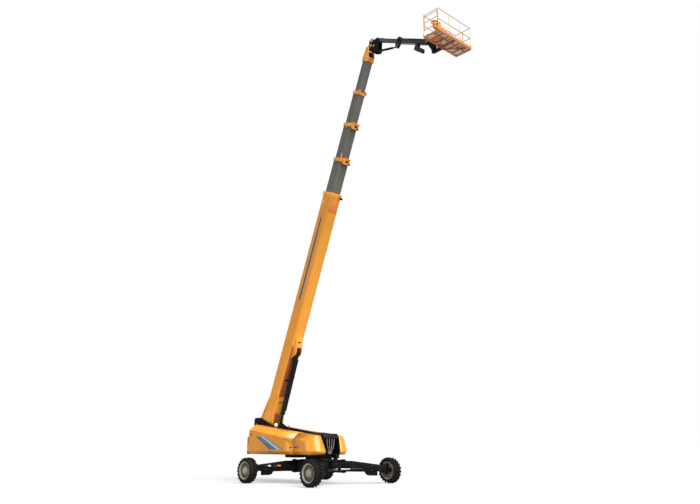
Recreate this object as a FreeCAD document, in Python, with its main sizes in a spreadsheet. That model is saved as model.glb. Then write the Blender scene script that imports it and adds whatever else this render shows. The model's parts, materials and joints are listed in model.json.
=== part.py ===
"""Telescopic boom lift: chassis on four swing-out legs, turntable, five-part boom, jib and platform."""
import FreeCAD, Part
import Sketcher
import math
import os
import re

V = FreeCAD.Vector

# Every length is in millimetres and every angle in degrees, in the machine's own axes:
# X forward, Y to the left, Z up, origin on the ground under the slewing axis.
SIZES = {
    # wheels and legs
    "WheelX": 2375, "WheelY": 2500, "TyreRadius": 600, "TyreWidth": 445, "RimRadius": 410,
    "KingpinInset": 400, "KingpinRadius": 60, "HubRadius": 80,
    "LegPivotX": 1150, "LegPivotY": 560, "LegWidth": 290, "LegPlate": 16,
    "LegRootTop": 1050, "LegRootBottom": 550, "LegTipTop": 870, "LegTipBottom": 560,
    "LegPinRadius": 50, "RunFit": 0.3,
    "LegLugReach": 900, "LegLugOffset": 235, "LegCylX": 1450, "LegCylY": 130, "LegCylZ": 680,
    "LegBarrelRadius": 62, "LegRodRadius": 36, "LegBarrelLength": 610,
    # chassis
    "FrameHalf": 1000, "FrameWidth": 1100, "FrameTop": 1050, "FrameBottom": 520, "FramePlate": 25,
    "NoseReach": 1350, "NoseWidth": 560,
    "PedestalRadius": 640, "PedestalTop": 1200, "SpigotRadius": 300, "SpigotTop": 1300,
    "RingRadius": 700, "RingBottom": 1206, "DeckBottom": 1345, "DeckTop": 1368,
    # turntable
    "DeckRear": 4080, "DeckFront": 820, "DeckWidth": 2260,
    "UprightInner": "=BaseWidth/2 + 65", "UprightPlate": 30, "BoomPinRadius": 60, "TailFit": 0.3,
    "LiftPinX": 3480, "LiftPinZ": 1800,
    # hoods
    "HoodRear": 4260, "HoodFront": 1060, "HoodInner": 470, "HoodOuter": 1240, "HoodBottom": 1330,
    "HoodTailLean": 175, "HoodBend": 1460, "HoodNose": 800,
    "HoodWall": 20, "HoodCorner": 600, "HoodRearTop": 2810, "HoodMidTop": 2475, "HoodFrontTop": 2215,
    "HoodSplit": 500, "HoodGap": 24, "HingeLine": 450,
    # boom: stations along the boom axis
    "BoomAngle": 68, "BoomStartX": -3973, "BoomStartZ": 2500, "PivotAlong": 248, "PivotUp": 453,
    "LiftAlong": 4500, "LiftBelow": 550,
    "BaseDepth": 700, "BaseWidth": 670, "BaseWall": 12, "BaseRear": 1060, "BaseFront": 13060,
    "TwoDepth": 600, "TwoWidth": 570, "TwoRear": 4200, "TwoFront": 14850,
    "ThreeDepth": 545, "ThreeWidth": 510, "ThreeRear": 5950, "ThreeFront": 16750,
    "FourDepth": 465, "FourWidth": 450, "FourRear": 7700, "FourFront": 18500,
    "FiveDepth": 400, "FiveWidth": 390, "FiveRear": 9500, "FiveFront": 20410,
    "HeadPinAlong": 20900, "HeadPinUp": 60,
    "TubeWall": 8, "TubeChamfer": 28, "PadLength": 220, "PadFit": 0.5,
    "CollarLength": 180, "CollarWall": 26, "GuideDepth": 150, "GuideWidth": 400,
    "LiftBarrelRadius": 125, "LiftRodRadius": 88, "LiftBarrelLength": 3330,
    # jib
    "JibReach": 649.35, "JibRise": 229.38,
    "JibX": "=BoomStartX + HeadPinAlong*cos(BoomAngle) - HeadPinUp*sin(BoomAngle) + JibReach",
    "JibZ": "=BoomStartZ + HeadPinAlong*sin(BoomAngle) + HeadPinUp*cos(BoomAngle) + JibRise",
    "JibAngle": 26, "JibInnerDepth": 190, "JibInnerWidth": 170,
    "JibOuterDepth": 250, "JibOuterWidth": 230, "JibSleeveStart": 1500, "JibSleeveEnd": 3520,
    "JibInnerEnd": 3450,
    "JibLevelAlong": 3640, "JibCylX": "=JibX - 30", "JibCylZ": "=JibZ - 610", "JibLugAlong": 1560,
    "JibLugBelow": 300,
    # platform
    "RotatorX": "=JibX + JibLevelAlong*cos(JibAngle) + 338.4", "PlatformX": "=RotatorX + 830",
    "FloorZ": "=JibZ - JibLevelAlong*sin(JibAngle) - 564.3", "PlatformDepth": 910, "PlatformWidth": 2440,
    "RailHeight": 1120, "RailRadius": 17, "MidRail": 560, "TreadInset": 60, "TreadPlate": 4,
}

doc = FreeCAD.newDocument("boom_lift")
sheet = doc.addObject("Spreadsheet::Sheet", "Sizes")
for row, (word, number) in enumerate(SIZES.items(), start=1):
    sheet.set("A%d" % row, word)
    sheet.set("B%d" % row, str(number))
    sheet.setAlias("B%d" % row, word)
doc.recompute()

WORDS = re.compile(r"\b(%s)\b" % "|".join(SIZES))
S = {word: float(sheet.get(word)) for word in SIZES}
nodes = {}
counter = [0]


def bind(thing, prop, text):
    """Tie one property to an expression in which the sheet's words stand for its cells."""
    thing.setExpression(prop, WORDS.sub(r"Sizes.\1", str(text)))


def new(kind, label):
    counter[0] += 1
    thing = doc.addObject(kind, "P%03d" % counter[0])
    thing.Label = "%s %03d" % (label, counter[0])
    return thing


def put(thing, at):
    for letter, text in zip("xyz", at):
        bind(thing, "Placement.Base." + letter, text)
    return thing


def box(label, size, at):
    thing = new("Part::Box", label)
    for prop, text in zip(("Length", "Width", "Height"), size):
        bind(thing, prop, text)
    return put(thing, at)


TURN = {"x": FreeCAD.Rotation(V(0, 1, 0), 90), "y": FreeCAD.Rotation(V(1, 0, 0), -90),
        "z": FreeCAD.Rotation()}


def cyl(label, radius, height, at, axis="z"):
    """A cylinder that grows from its point along +X, +Y or +Z."""
    thing = new("Part::Cylinder", label)
    bind(thing, "Radius", radius)
    bind(thing, "Height", height)
    thing.Placement = FreeCAD.Placement(V(), TURN[axis])
    return put(thing, at)


def sketch(label, points):
    """A closed polygon whose corners are held by expressions."""
    thing = new("Sketcher::SketchObject", label)
    n = len(points)
    ring = [V(1000 * math.cos(2 * math.pi * i / n), 1000 * math.sin(2 * math.pi * i / n), 0)
            for i in range(n)]
    thing.addGeometry([Part.LineSegment(ring[i], ring[(i + 1) % n]) for i in range(n)], False)
    rules = [Sketcher.Constraint("Coincident", i, 2, (i + 1) % n, 1) for i in range(n)]
    for i, corner in enumerate(ring):
        rules.append(Sketcher.Constraint("DistanceX", -1, 1, i, 1, corner.x))
        rules.append(Sketcher.Constraint("DistanceY", -1, 1, i, 1, corner.y))
    thing.addConstraint(rules)
    for i, (across, up) in enumerate(points):
        bind(thing, "Constraints[%d]" % (n + 2 * i), across)
        bind(thing, "Constraints[%d]" % (n + 2 * i + 1), up)
    return thing


FACING = {"xy": FreeCAD.Rotation(), "xz": FreeCAD.Rotation(V(1, 0, 0), 90),
          "yz": FreeCAD.Rotation(0.5, 0.5, 0.5, 0.5)}


def prism(label, plane, points, start, length):
    """A polygon in the named plane, pulled from start to start + length across that plane."""
    outline = sketch(label + " outline", points)
    outline.Placement = FreeCAD.Placement(V(), FACING[plane])
    if plane == "xz":
        bind(outline, "Placement.Base.y", "(%s) + (%s)" % (start, length))
    else:
        bind(outline, "Placement.Base." + {"xy": "z", "yz": "x"}[plane], start)
    thing = new("Part::Extrusion", label)
    thing.Base = outline
    thing.DirMode = "Normal"
    thing.Solid = True
    bind(thing, "LengthFwd", length)
    return thing


def spin(label, points):
    """A profile of (radius, station) points turned about the Y axis."""
    outline = sketch(label + " profile", points)
    thing = new("Part::Revolution", label)
    thing.Source = outline
    thing.Axis = V(0, 1, 0)
    thing.Base = V(0, 0, 0)
    thing.Angle = 360
    thing.Solid = True
    return thing


def fuse(label, *things):
    thing = new("Part::MultiFuse", label)
    thing.Shapes = list(things)
    thing.Refine = True
    return thing


def common(label, *things):
    thing = new("Part::MultiCommon", label)
    thing.Shapes = list(things)
    return thing


def cut(label, base, *tools):
    tool = tools[0] if len(tools) == 1 else fuse(label + " tools", *tools)
    thing = new("Part::Cut", label)
    thing.Base = base
    thing.Tool = tool
    thing.Refine = True
    return thing


def together(label, *things):
    thing = new("Part::Compound", label)
    thing.Links = list(things)
    return thing


def mirrored(label, thing):
    copy = new("Part::Mirroring", label)
    copy.Source = thing
    copy.Normal = V(0, 1, 0)
    copy.Base = V(0, 0, 0)
    return copy


def node(name, thing, frame=None):
    """File a finished piece under its name, carried to its frame in the machine."""
    thing.Label = name
    nodes[name] = (thing, frame or FreeCAD.Placement())


def rect(depth, width, chamfer):
    """Eight corners of a chamfered rectangle, width across and depth up."""
    w, d, c = "(%s)/2" % width, "(%s)/2" % depth, "(%s)" % chamfer
    return [("-%s" % w, "-%s + %s" % (d, c)), ("-%s + %s" % (w, c), "-%s" % d),
            ("%s - %s" % (w, c), "-%s" % d),
            (w, "-%s + %s" % (d, c)), (w, "%s - %s" % (d, c)), ("%s - %s" % (w, c), d),
            ("-%s + %s" % (w, c), d), ("-%s" % w, "%s - %s" % (d, c))]


def tube(label, depth, width, wall, rear, front, chamfer="TubeChamfer"):
    """A hollow chamfered beam along X."""
    outer = prism(label + " outside", "yz", rect(depth, width, chamfer), rear, "(%s) - (%s)" % (front, rear))
    inner = prism(label + " inside", "yz", rect("%s - 2*(%s)" % (depth, wall),
                                                "%s - 2*(%s)" % (width, wall), "(%s) - (%s)/2" % (chamfer,
                                                wall)),
                  "(%s) - 5" % rear, "(%s) - (%s) + 10" % (front, rear))
    return cut(label, outer, inner)


def hose(label, radius, bend, points):
    """A round hose along straight runs that tangent arcs of one bend radius join."""
    points = [V(*point) for point in points]
    runs, at = [], points[0]
    for before, corner, after in zip(points, points[1:], points[2:]):
        back, on = (before - corner).normalize(), (after - corner).normalize()
        half = back.getAngle(on) / 2
        start, stop = corner + back * (bend / math.tan(half)), corner + on * (bend / math.tan(half))
        middle = corner + (back + on).normalize() * (bend / math.sin(half) - bend)
        runs += [Part.LineSegment(at, start), Part.Arc(start, middle, stop)]
        at = stop
    runs.append(Part.LineSegment(at, points[-1]))
    ring = Part.Circle(points[0], points[1] - points[0], radius)
    thing = new("Part::Feature", label)
    thing.Shape = Part.Wire([run.toShape() for run in runs]).makePipeShell([Part.Wire(ring.toShape())],
        True, False)
    return thing


def frame_at(x, z, angle, y=0.0):
    """A frame whose X runs up the given angle in the XZ plane."""
    return FreeCAD.Placement(V(x, y, z), FreeCAD.Rotation(V(0, 1, 0), -angle))


# ---------------------------------------------------------------- chassis
def chassis():
    skin = cut("centre box", box("block", ("2*FrameHalf", "FrameWidth", "FrameTop - FrameBottom"),
                                 ("-FrameHalf", "-FrameWidth/2", "FrameBottom")),
               box("hollow", ("2*FrameHalf - 2*FramePlate", "FrameWidth - 2*FramePlate",
                              "FrameTop - FrameBottom"),
                   ("-FrameHalf + FramePlate", "-FrameWidth/2 + FramePlate", "FrameBottom - FramePlate")))
    pieces = [skin,
              cyl("pedestal", "PedestalRadius", "PedestalTop - FrameTop", ("0", "0", "FrameTop")),
              cyl("spigot", "SpigotRadius", "SpigotTop - PedestalTop", ("0", "0", "PedestalTop"))]
    for end in (1, -1):
        near = "FrameHalf" if end > 0 else "-NoseReach"
        pieces.append(box("nose", ("NoseReach - FrameHalf", "NoseWidth",
                                   "FrameTop - 30 - FrameBottom - 40"), (near, "-NoseWidth/2",
                                   "FrameBottom + 40")))
        for level in ("LegCylZ - 95", "LegCylZ + 65"):
            ear_from = "NoseReach" if end > 0 else "-LegCylX - 70"
            pieces.append(box("cylinder ear", ("LegCylX + 70 - NoseReach", "2*LegCylY + 140", "30"),
                              (ear_from, "-LegCylY - 70", level)))
        for side in (1, -1):
            # tie-down eye beside the nose
            eye_x = "NoseReach - 40" if end > 0 else "-NoseReach + 10"
            eye_y = "NoseWidth/2 - 5" if side > 0 else "-NoseWidth/2 - 130"
            plate = box("tie plate", ("30", "135", "160"), (eye_x, eye_y, "FrameTop - 240"))
            hole = cyl("tie bore", "30", "90", (eye_x + " - 30", "%d*(NoseWidth/2 + 70)" % side,
                                                "FrameTop - 160"), "x")
            pieces.append(cut("tie eye", plate, hole))
            for level in ("LegRootTop + 6", "LegRootBottom - 46"):
                corner_x = "FrameHalf - 150" if end > 0 else "-LegPivotX - 20"
                corner_y = "LegPivotY - 140" if side > 0 else "-LegPivotY - 140"
                pieces.append(box("corner ear", ("LegPivotX + 20 - FrameHalf + 150", "280", "40"),
                                  (corner_x, corner_y, level)))
                pieces.append(cyl("ear nose", "140", "40", ("%d*LegPivotX" % end, "%d*LegPivotY" % side,
                                                            level)))
            pieces.append(cyl("leg pin", "LegPinRadius", "LegRootTop - LegRootBottom + 130",
                              ("%d*LegPivotX" % end, "%d*LegPivotY" % side, "LegRootBottom - 65")))
    for side in (1, -1):
        # deck plates above the corners tie the upper ears to the box
        pieces.append(box("corner web", ("2*FrameHalf", "60", "80"),
                          ("-FrameHalf", "%s" % ("FrameWidth/2 - 60" if side > 0 else "-FrameWidth/2"),
                           "FrameTop - 34")))
    well = cyl("pedestal well", "500", "PedestalTop - 40 - FrameTop + 60", ("0", "0", "FrameTop - 60"))
    node("chassis_frame", cut("chassis", fuse("chassis whole", *pieces), well))


# ---------------------------------------------------------------- legs and wheels
LEG_ANGLE = math.degrees(math.atan2(S["WheelY"] - S["KingpinInset"] - S["LegPivotY"],
                                    S["WheelX"] - S["LegPivotX"]))
LEG_LENGTH = math.hypot(S["WheelY"] - S["KingpinInset"] - S["LegPivotY"], S["WheelX"] - S["LegPivotX"])
CORNERS = {"front_left": (1, 1), "front_right": (1, -1), "rear_left": (-1, 1), "rear_right": (-1, -1)}


def leg_frame(end, side):
    """Frame at a leg's root pin with X along the leg."""
    heading = {(1, 1): LEG_ANGLE, (1, -1): -LEG_ANGLE, (-1, 1): 180 - LEG_ANGLE,
               (-1, -1): LEG_ANGLE - 180}[(end, side)]
    return FreeCAD.Placement(V(end * S["LegPivotX"], side * S["LegPivotY"], 0),
                             FreeCAD.Rotation(V(0, 0, 1), heading))


def cylinder_frame(end, side):
    """Frame at the leg's lug with X towards the chassis pin, and the pin to pin length."""
    inward = -1 if end * side > 0 else 1
    lug = leg_frame(end, side).multVec(V(S["LegLugReach"], inward * S["LegLugOffset"], S["LegCylZ"]))
    pin = V(end * S["LegCylX"], side * S["LegCylY"], S["LegCylZ"])
    way = pin - lug
    heading = math.degrees(math.atan2(way.y, way.x))
    return FreeCAD.Placement(lug, FreeCAD.Rotation(V(0, 0, 1), heading)), way.Length


def leg(corner, end, side):
    inward = -1 if end * side > 0 else 1
    long = "%.3f" % LEG_LENGTH
    beam = prism("beam", "xz", [("60", "LegRootBottom + 6"), ("60", "LegRootTop - 6"),
                                ("420", "LegRootTop - 6"), (long + " - 240", "LegTipTop"),
                                (long, "LegTipTop"), (long, "LegTipBottom"), (long + " - 420",
                                "LegTipBottom"), (long + " - 700", "LegRootBottom - 10"),
                                ("400", "LegRootBottom + 6")],
                 "-LegWidth/2", "LegWidth")
    hollow = prism("beam inside", "xz", [("170", "LegRootBottom + 30"), ("170", "LegRootTop - 30"),
                                         ("420", "LegRootTop - 30"), (long + " - 240", "LegTipTop - 25"),
                                         (long + " - 160", "LegTipTop - 25"), (long + " - 160",
                                         "LegTipBottom + 25"), ("400", "LegRootBottom + 30")],
                   "-LegWidth/2 + LegPlate", "LegWidth - 2*LegPlate")
    root = cyl("root boss", "135", "LegRootTop - LegRootBottom", ("0", "0", "LegRootBottom"))
    tip = cyl("tip boss", "130", "LegTipTop - LegTipBottom", (long, "0", "LegTipBottom"))
    lug_y = "-LegLugOffset - 55" if inward < 0 else "LegWidth/2 - 20"
    lugs = [box("cylinder lug", ("130", "LegLugOffset + 55 - LegWidth/2 + 20", "28"),
                ("LegLugReach - 65", lug_y, level)) for level in ("LegCylZ - 96", "LegCylZ + 68")]
    lug_pin = cyl("lug pin", "24", "220", ("LegLugReach", "%d*LegLugOffset" % inward, "LegCylZ - 110"))
    steer_box = box("steering housing", ("430", "170", "180"), (long + " - 760", "-85", "LegTipBottom - 190"))
    body = cut("leg skin", fuse("leg outside", beam, root, tip, steer_box), hollow)
    body = cut("leg bored", fuse("leg with lugs", body, lug_pin, *lugs),
               cyl("root bore", "LegPinRadius + RunFit", "LegRootTop", ("0", "0", "LegRootBottom - 100")),
               cyl("tip bore", "KingpinRadius + RunFit", "LegTipTop", (long, "0", "LegTipBottom - 150")))
    node("leg_" + corner, body, leg_frame(end, side))
    place, reach = cylinder_frame(end, side)
    far = "%.3f" % reach
    barrel = fuse("barrel body", cyl("barrel eye", "52", "120", ("0", "0", "-60")),
                  cyl("barrel tube", "LegBarrelRadius", "LegBarrelLength - 30", ("30", "0", "0"), "x"))
    barrel = cut("barrel", barrel, cyl("eye bore", "24 + RunFit", "300", ("0", "0", "-150")),
                 cyl("rod bore", "LegRodRadius + RunFit", "LegBarrelLength", ("110", "0", "0"), "x"))
    node("leg_barrel_" + corner, barrel, place)
    rod = fuse("rod", cyl("rod bar", "LegRodRadius", "(%s) - 550" % far, ("520", "0", "0"), "x"),
               cyl("rod eye", "48", "110", (far, "0", "-55")),
               cyl("rod pin", "24", "124", (far, "0", "-62")))
    node("leg_rod_" + corner, rod, place)


def knuckle(corner, end, side):
    yoke = [cyl("upper cheek", "125", "38", ("0", "0", "LegTipTop + 6")),
            cyl("lower cheek", "125", "52", ("0", "0", "LegTipBottom - 58")),
            box("upper arm", ("240", "185", "38"), ("-120", "0", "LegTipTop + 6")),
            box("lower arm", ("240", "185", "52"), ("-120", "0", "LegTipBottom - 58")),
            box("outer plate", ("240", "40", "LegTipTop - LegTipBottom + 102"),
                ("-120", "158", "LegTipBottom - 58")),
            cyl("kingpin", "KingpinRadius", "LegTipTop - LegTipBottom + 70", ("0", "0", "LegTipBottom - 52")),
            cyl("drive case", "165", "92", ("0", "168", "TyreRadius"), "y"),
            cyl("spindle", "HubRadius", "240", ("0", "250", "TyreRadius"), "y"),
            box("steering arm", ("190", "60", "40"), ("60", "-30", "LegTipBottom - 52"))]
    piece = fuse("knuckle", *yoke)
    place = FreeCAD.Placement(V(end * S["WheelX"], side * (S["WheelY"] - S["KingpinInset"]), 0),
                              FreeCAD.Rotation(V(0, 0, 1), 0 if side > 0 else 180))
    node("knuckle_" + corner, piece, place)


def wheel(corner, end, side):
    half = "TyreWidth/2"
    tyre = spin("tyre", [("RimRadius", "-%s + 30" % half), ("RimRadius + 30", "-%s" % half),
                         ("TyreRadius - 70", "-%s" % half), ("TyreRadius - 12", "-%s + 40" % half),
                         ("TyreRadius", "-%s + 100" % half), ("TyreRadius", "%s - 100" % half),
                         ("TyreRadius - 12", "%s - 40" % half), ("TyreRadius - 70", half),
                         ("RimRadius + 30", half), ("RimRadius", "%s - 30" % half)])
    # the dish faces outwards, towards +Y in the wheel's own frame
    rim = spin("rim", [("HubRadius + RunFit", "60"), ("170", "60"), ("200", "20"), ("RimRadius - 60", "60"),
                       ("RimRadius - 45", "-%s + 34" % half), ("RimRadius", "-%s + 30" % half),
                       ("RimRadius", "%s - 30" % half), ("RimRadius - 22", "%s - 24" % half),
                       ("RimRadius - 50", "%s - 70" % half), ("RimRadius - 75", "110"),
                       ("215", "75"), ("180", "105"), ("150", "190"), ("100", "205"), ("0", "205"),
                       ("0", "96"), ("HubRadius + RunFit", "96")])
    place = FreeCAD.Placement(V(end * S["WheelX"], side * S["WheelY"], S["TyreRadius"]),
                              FreeCAD.Rotation(V(0, 0, 1), 0 if side > 0 else 180))
    node("tyre_" + corner, tyre, place)
    node("rim_" + corner, rim, place)


# ---------------------------------------------------------------- turntable
BOOM = frame_at(S["BoomStartX"], S["BoomStartZ"], S["BoomAngle"])
PIVOT = BOOM.multVec(V(S["PivotAlong"], 0, S["PivotUp"]))
LIFT_TOP = BOOM.multVec(V(S["LiftAlong"], 0, -S["LiftBelow"]))
LIFT_FOOT = V(-S["LiftPinX"], 0, S["LiftPinZ"])


def turntable():
    ring = cut("ring", cyl("ring outside", "RingRadius", "DeckBottom - RingBottom", ("0", "0", "RingBottom")),
               cyl("ring bore", "SpigotRadius + RunFit", "600", ("0", "0", "RingBottom - 100")))
    node("slew_ring", ring)
    deck = prism("deck", "xy", [("-DeckRear", "-DeckWidth/2"), ("DeckFront - 300", "-DeckWidth/2"),
                                ("DeckFront", "-DeckWidth/2 + 300"), ("DeckFront", "DeckWidth/2 - 300"),
                                ("DeckFront - 300", "DeckWidth/2"), ("-DeckRear", "DeckWidth/2")],
                                "DeckBottom", "DeckTop - DeckBottom")
    px, pz = "%.3f" % PIVOT.x, "%.3f" % PIVOT.z
    tail = [("-4200", "DeckTop - 10"), ("-4700", "2330"), ("-4790", "2450"), ("-4790", "3080"),
            ("-4700", "3180"), ("-4240", "3180"), ("-3020", "2700")]
    nose = [("860", "HoodFrontTop - 15"), ("860", "DeckTop - 10")]
    # the left plate runs level with the hoods, and the right one stands above them with a hose horn on it
    left = [("-HoodBend", "HoodMidTop + 8"), ("HoodNose", "HoodFrontTop + 8")]
    right = [("-2640", "2660"), ("-2480", "2860"), ("-2330", "2850"), ("-1800", "2560"),
             ("-HoodBend", "HoodMidTop + 45"), ("HoodNose", "HoodFrontTop + 45")]
    pieces = [deck, prism("left upright", "xz", tail + left + nose, "UprightInner", "UprightPlate"),
              prism("right upright", "xz", tail + right + nose, "-UprightInner - UprightPlate",
                    "UprightPlate")]
    pieces.append(cyl("boom pin", "BoomPinRadius", "2*UprightInner + 2*UprightPlate + 60",
                      (px, "-UprightInner - UprightPlate - 30", pz), "y"))
    for side in (1, -1):
        start = "135" if side > 0 else "-175"
        pieces.append(prism("lift ear", "xz", [("-LiftPinX - 260", "DeckTop - 10"),
                                               ("-LiftPinX - 120", "LiftPinZ + 110"), ("-LiftPinX + 120",
                                               "LiftPinZ + 110"),
                                               ("-LiftPinX + 320", "DeckTop - 10")], start, "40"))
    front = cut("front cover", box("cover block", ("230", "2*UprightInner + 80", "210"),
                                   ("640", "-UprightInner - 40", "2080")),
                box("cover hollow", ("230", "2*UprightInner - 10", "300"),
                    ("610", "-UprightInner + 5", "2030")))
    pieces.append(front)
    for name in ("rear", "front"):
        for station in hood_hinges(name):
            ears = hinge_half(*station, False)
            pieces += [ears, mirrored("right ears", ears)]
    node("turntable_frame", fuse("turntable", *pieces))
    weight = prism("weight", "xy", [("-HoodRear - 15", "-1200"), ("-HoodRear - 15", "1200"),
                                    ("-HoodRear - 110", "1130"), ("-4500", "850"),
                                    ("-4500", "-850"), ("-HoodRear - 110", "-1130")], "HoodBottom", "840")
    # the weight bears on the sloping tails of the uprights
    notch = prism("weight notch", "xz", [("-4100", "HoodBottom - 10"),
                                         ("-4200 - TailFit", "HoodBottom - 10"), ("-4200 - TailFit",
                                         "DeckTop - 10"),
                                         ("-4700 - TailFit", "2330"), ("-4100", "2330")],
                                         "-UprightInner - 60", "2*UprightInner + 120")
    node("counterweight", cut("counterweight body", weight, notch))
    node("engine_block", box("engine", ("1050", "400", "450"), ("-3300", "650", "DeckTop")))
    # hoses hang from the front cover's wall and draw together on the deck
    foot = S["DeckTop"] + 0.3
    node("channel_hoses", together("channel hoses", *[
        hose("channel hose", 17, 150, [(855, 1.4 * y, 2079.7), (855, 1.4 * y, 1900), (858, y, 1640),
                                       (790, 0.5 * y, 1480), (790, 0.5 * y, foot)])
        for y in (-170, -55, 60, 165)]))


def hood_hinges(part):
    """Hinge stations of one hood: (x, z, slope in degrees) along its inner top edge."""
    bend = S["HoodBend"]
    rise = {"rear": (S["HoodMidTop"] - S["HoodRearTop"]) / (S["HoodRear"] - S["HoodTailLean"] - bend),
            "front": (S["HoodFrontTop"] - S["HoodMidTop"]) / (S["HoodNose"] + bend)}[part]
    stations = {"rear": (-3750, -1600), "front": (-380, 380)}[part]
    return [(x, S["HoodMidTop"] + rise * (x + bend) - 14, -math.degrees(math.atan(rise))) for x in stations]


def hinge_half(x, z, slope, moving):
    """One half of a hood hinge on the left side: the hood's lug or the frame's pin with its two ears."""
    if moving:
        half = cut("hood lug", box("lug block", ("44", "44", "24"), ("-22", "-12", "-12")),
                   cyl("lug bore", "8 + RunFit", "100", ("-50", "0", "0"), "x"))
    else:
        half = fuse("frame ears", cyl("hinge pin", "8", "110", ("-55", "0", "0"), "x"),
                    box("ear", ("28", "34", "28"), ("-55", "-22", "-14")),
                    box("ear", ("28", "34", "28"), ("27", "-22", "-14")))
    half.Placement = FreeCAD.Placement(V(x, S["HingeLine"], z), FreeCAD.Rotation(V(0, 1, 0), slope))
    return half


# the chamfer along each hood's top edge: its height at x -4700, its fall towards the front and its tilt, in degrees
SHOULDER_START, SHOULDER_FALL, SHOULDER_TILT = 2600, 7.0, 52


def hoods():
    def shell(name, grow, low, inner):
        """Hood envelope, drawn in by grow; low and inner say where its open sides lie."""
        g = "(%s)" % grow
        side_view = prism(name + " side view", "xz",
                          [("-HoodRear + %s" % g, low), ("-HoodRear + HoodTailLean + %s" % g,
                                                         "HoodRearTop - %s" % g),
                           ("-HoodBend", "HoodMidTop - %s" % g), ("HoodNose - %s*0.6" % g,
                           "HoodFrontTop - %s" % g),
                           ("HoodFront - 40 - %s" % g, "1560"), ("HoodFront - %s" % g, "1440"),
                           ("HoodFront - %s" % g, low)],
                          inner, "HoodOuter - %s - (%s)" % (g, inner))
        floor, tall, back = "HoodBottom - 80", "1650", "-HoodRear + " + g
        plan = fuse(name + " plan",
                    box("plan long", ("HoodRear + HoodFront - HoodCorner - 2*" + g,
                                      "HoodOuter - %s - (%s)" % (g, inner), tall), (back, inner, floor)),
                    box("plan deep", ("HoodRear + HoodFront - 2*" + g,
                                      "HoodOuter - HoodCorner - (%s)" % inner, tall), (back, inner, floor)),
                    cyl("plan corner", "HoodCorner - " + g, tall,
                        ("HoodFront - HoodCorner", "HoodOuter - HoodCorner", floor)))
        body = common(name + " envelope", side_view, plan)
        shoulder = box("shoulder cutter", ("6200", "900", "900"), ("0", "0", "0"))
        along, tilt = FreeCAD.Rotation(V(0, 1, 0), SHOULDER_FALL), FreeCAD.Rotation(V(1, 0, 0), SHOULDER_TILT)
        shoulder.Placement = FreeCAD.Placement(V(-4700, S["HoodOuter"] - grow, SHOULDER_START - grow),
                                               along.multiply(tilt))
        return cut(name + " shouldered", body, shoulder)

    outside = shell("outside", 0, "HoodBottom", "HoodInner")
    inside = shell("inside", S["HoodWall"], "HoodBottom - 40", "HoodInner - 60")
    hood = cut("hood shell", outside, inside)
    flare = prism("channel flare", "yz", [("HoodInner - 80", "HoodBottom - 20"),
                                          ("HoodInner - 30", "HoodBottom - 20"), ("HoodInner + 130",
                                          "2340"), ("HoodInner - 80", "2340")], "520", "700")
    hood = cut("hood flared", hood, flare)
    for name, start, length in (("rear", "-HoodRear - 50", "HoodRear + 50 - HoodSplit - HoodGap/2"),
                                ("front", "-HoodSplit + HoodGap/2",
                                 "HoodFront + 50 + HoodSplit - HoodGap/2")):
        shell_part = common("left " + name, hood, box("split", (length, "900", "1700"),
                                                      (start, "HoodInner - 60", "HoodBottom - 80")))
        left = fuse("left with lugs " + name, shell_part,
                    *[hinge_half(*station, True) for station in hood_hinges(name)])
        node("hood_left_" + name, left)
        node("hood_right_" + name, mirrored("right " + name, left))


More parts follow.
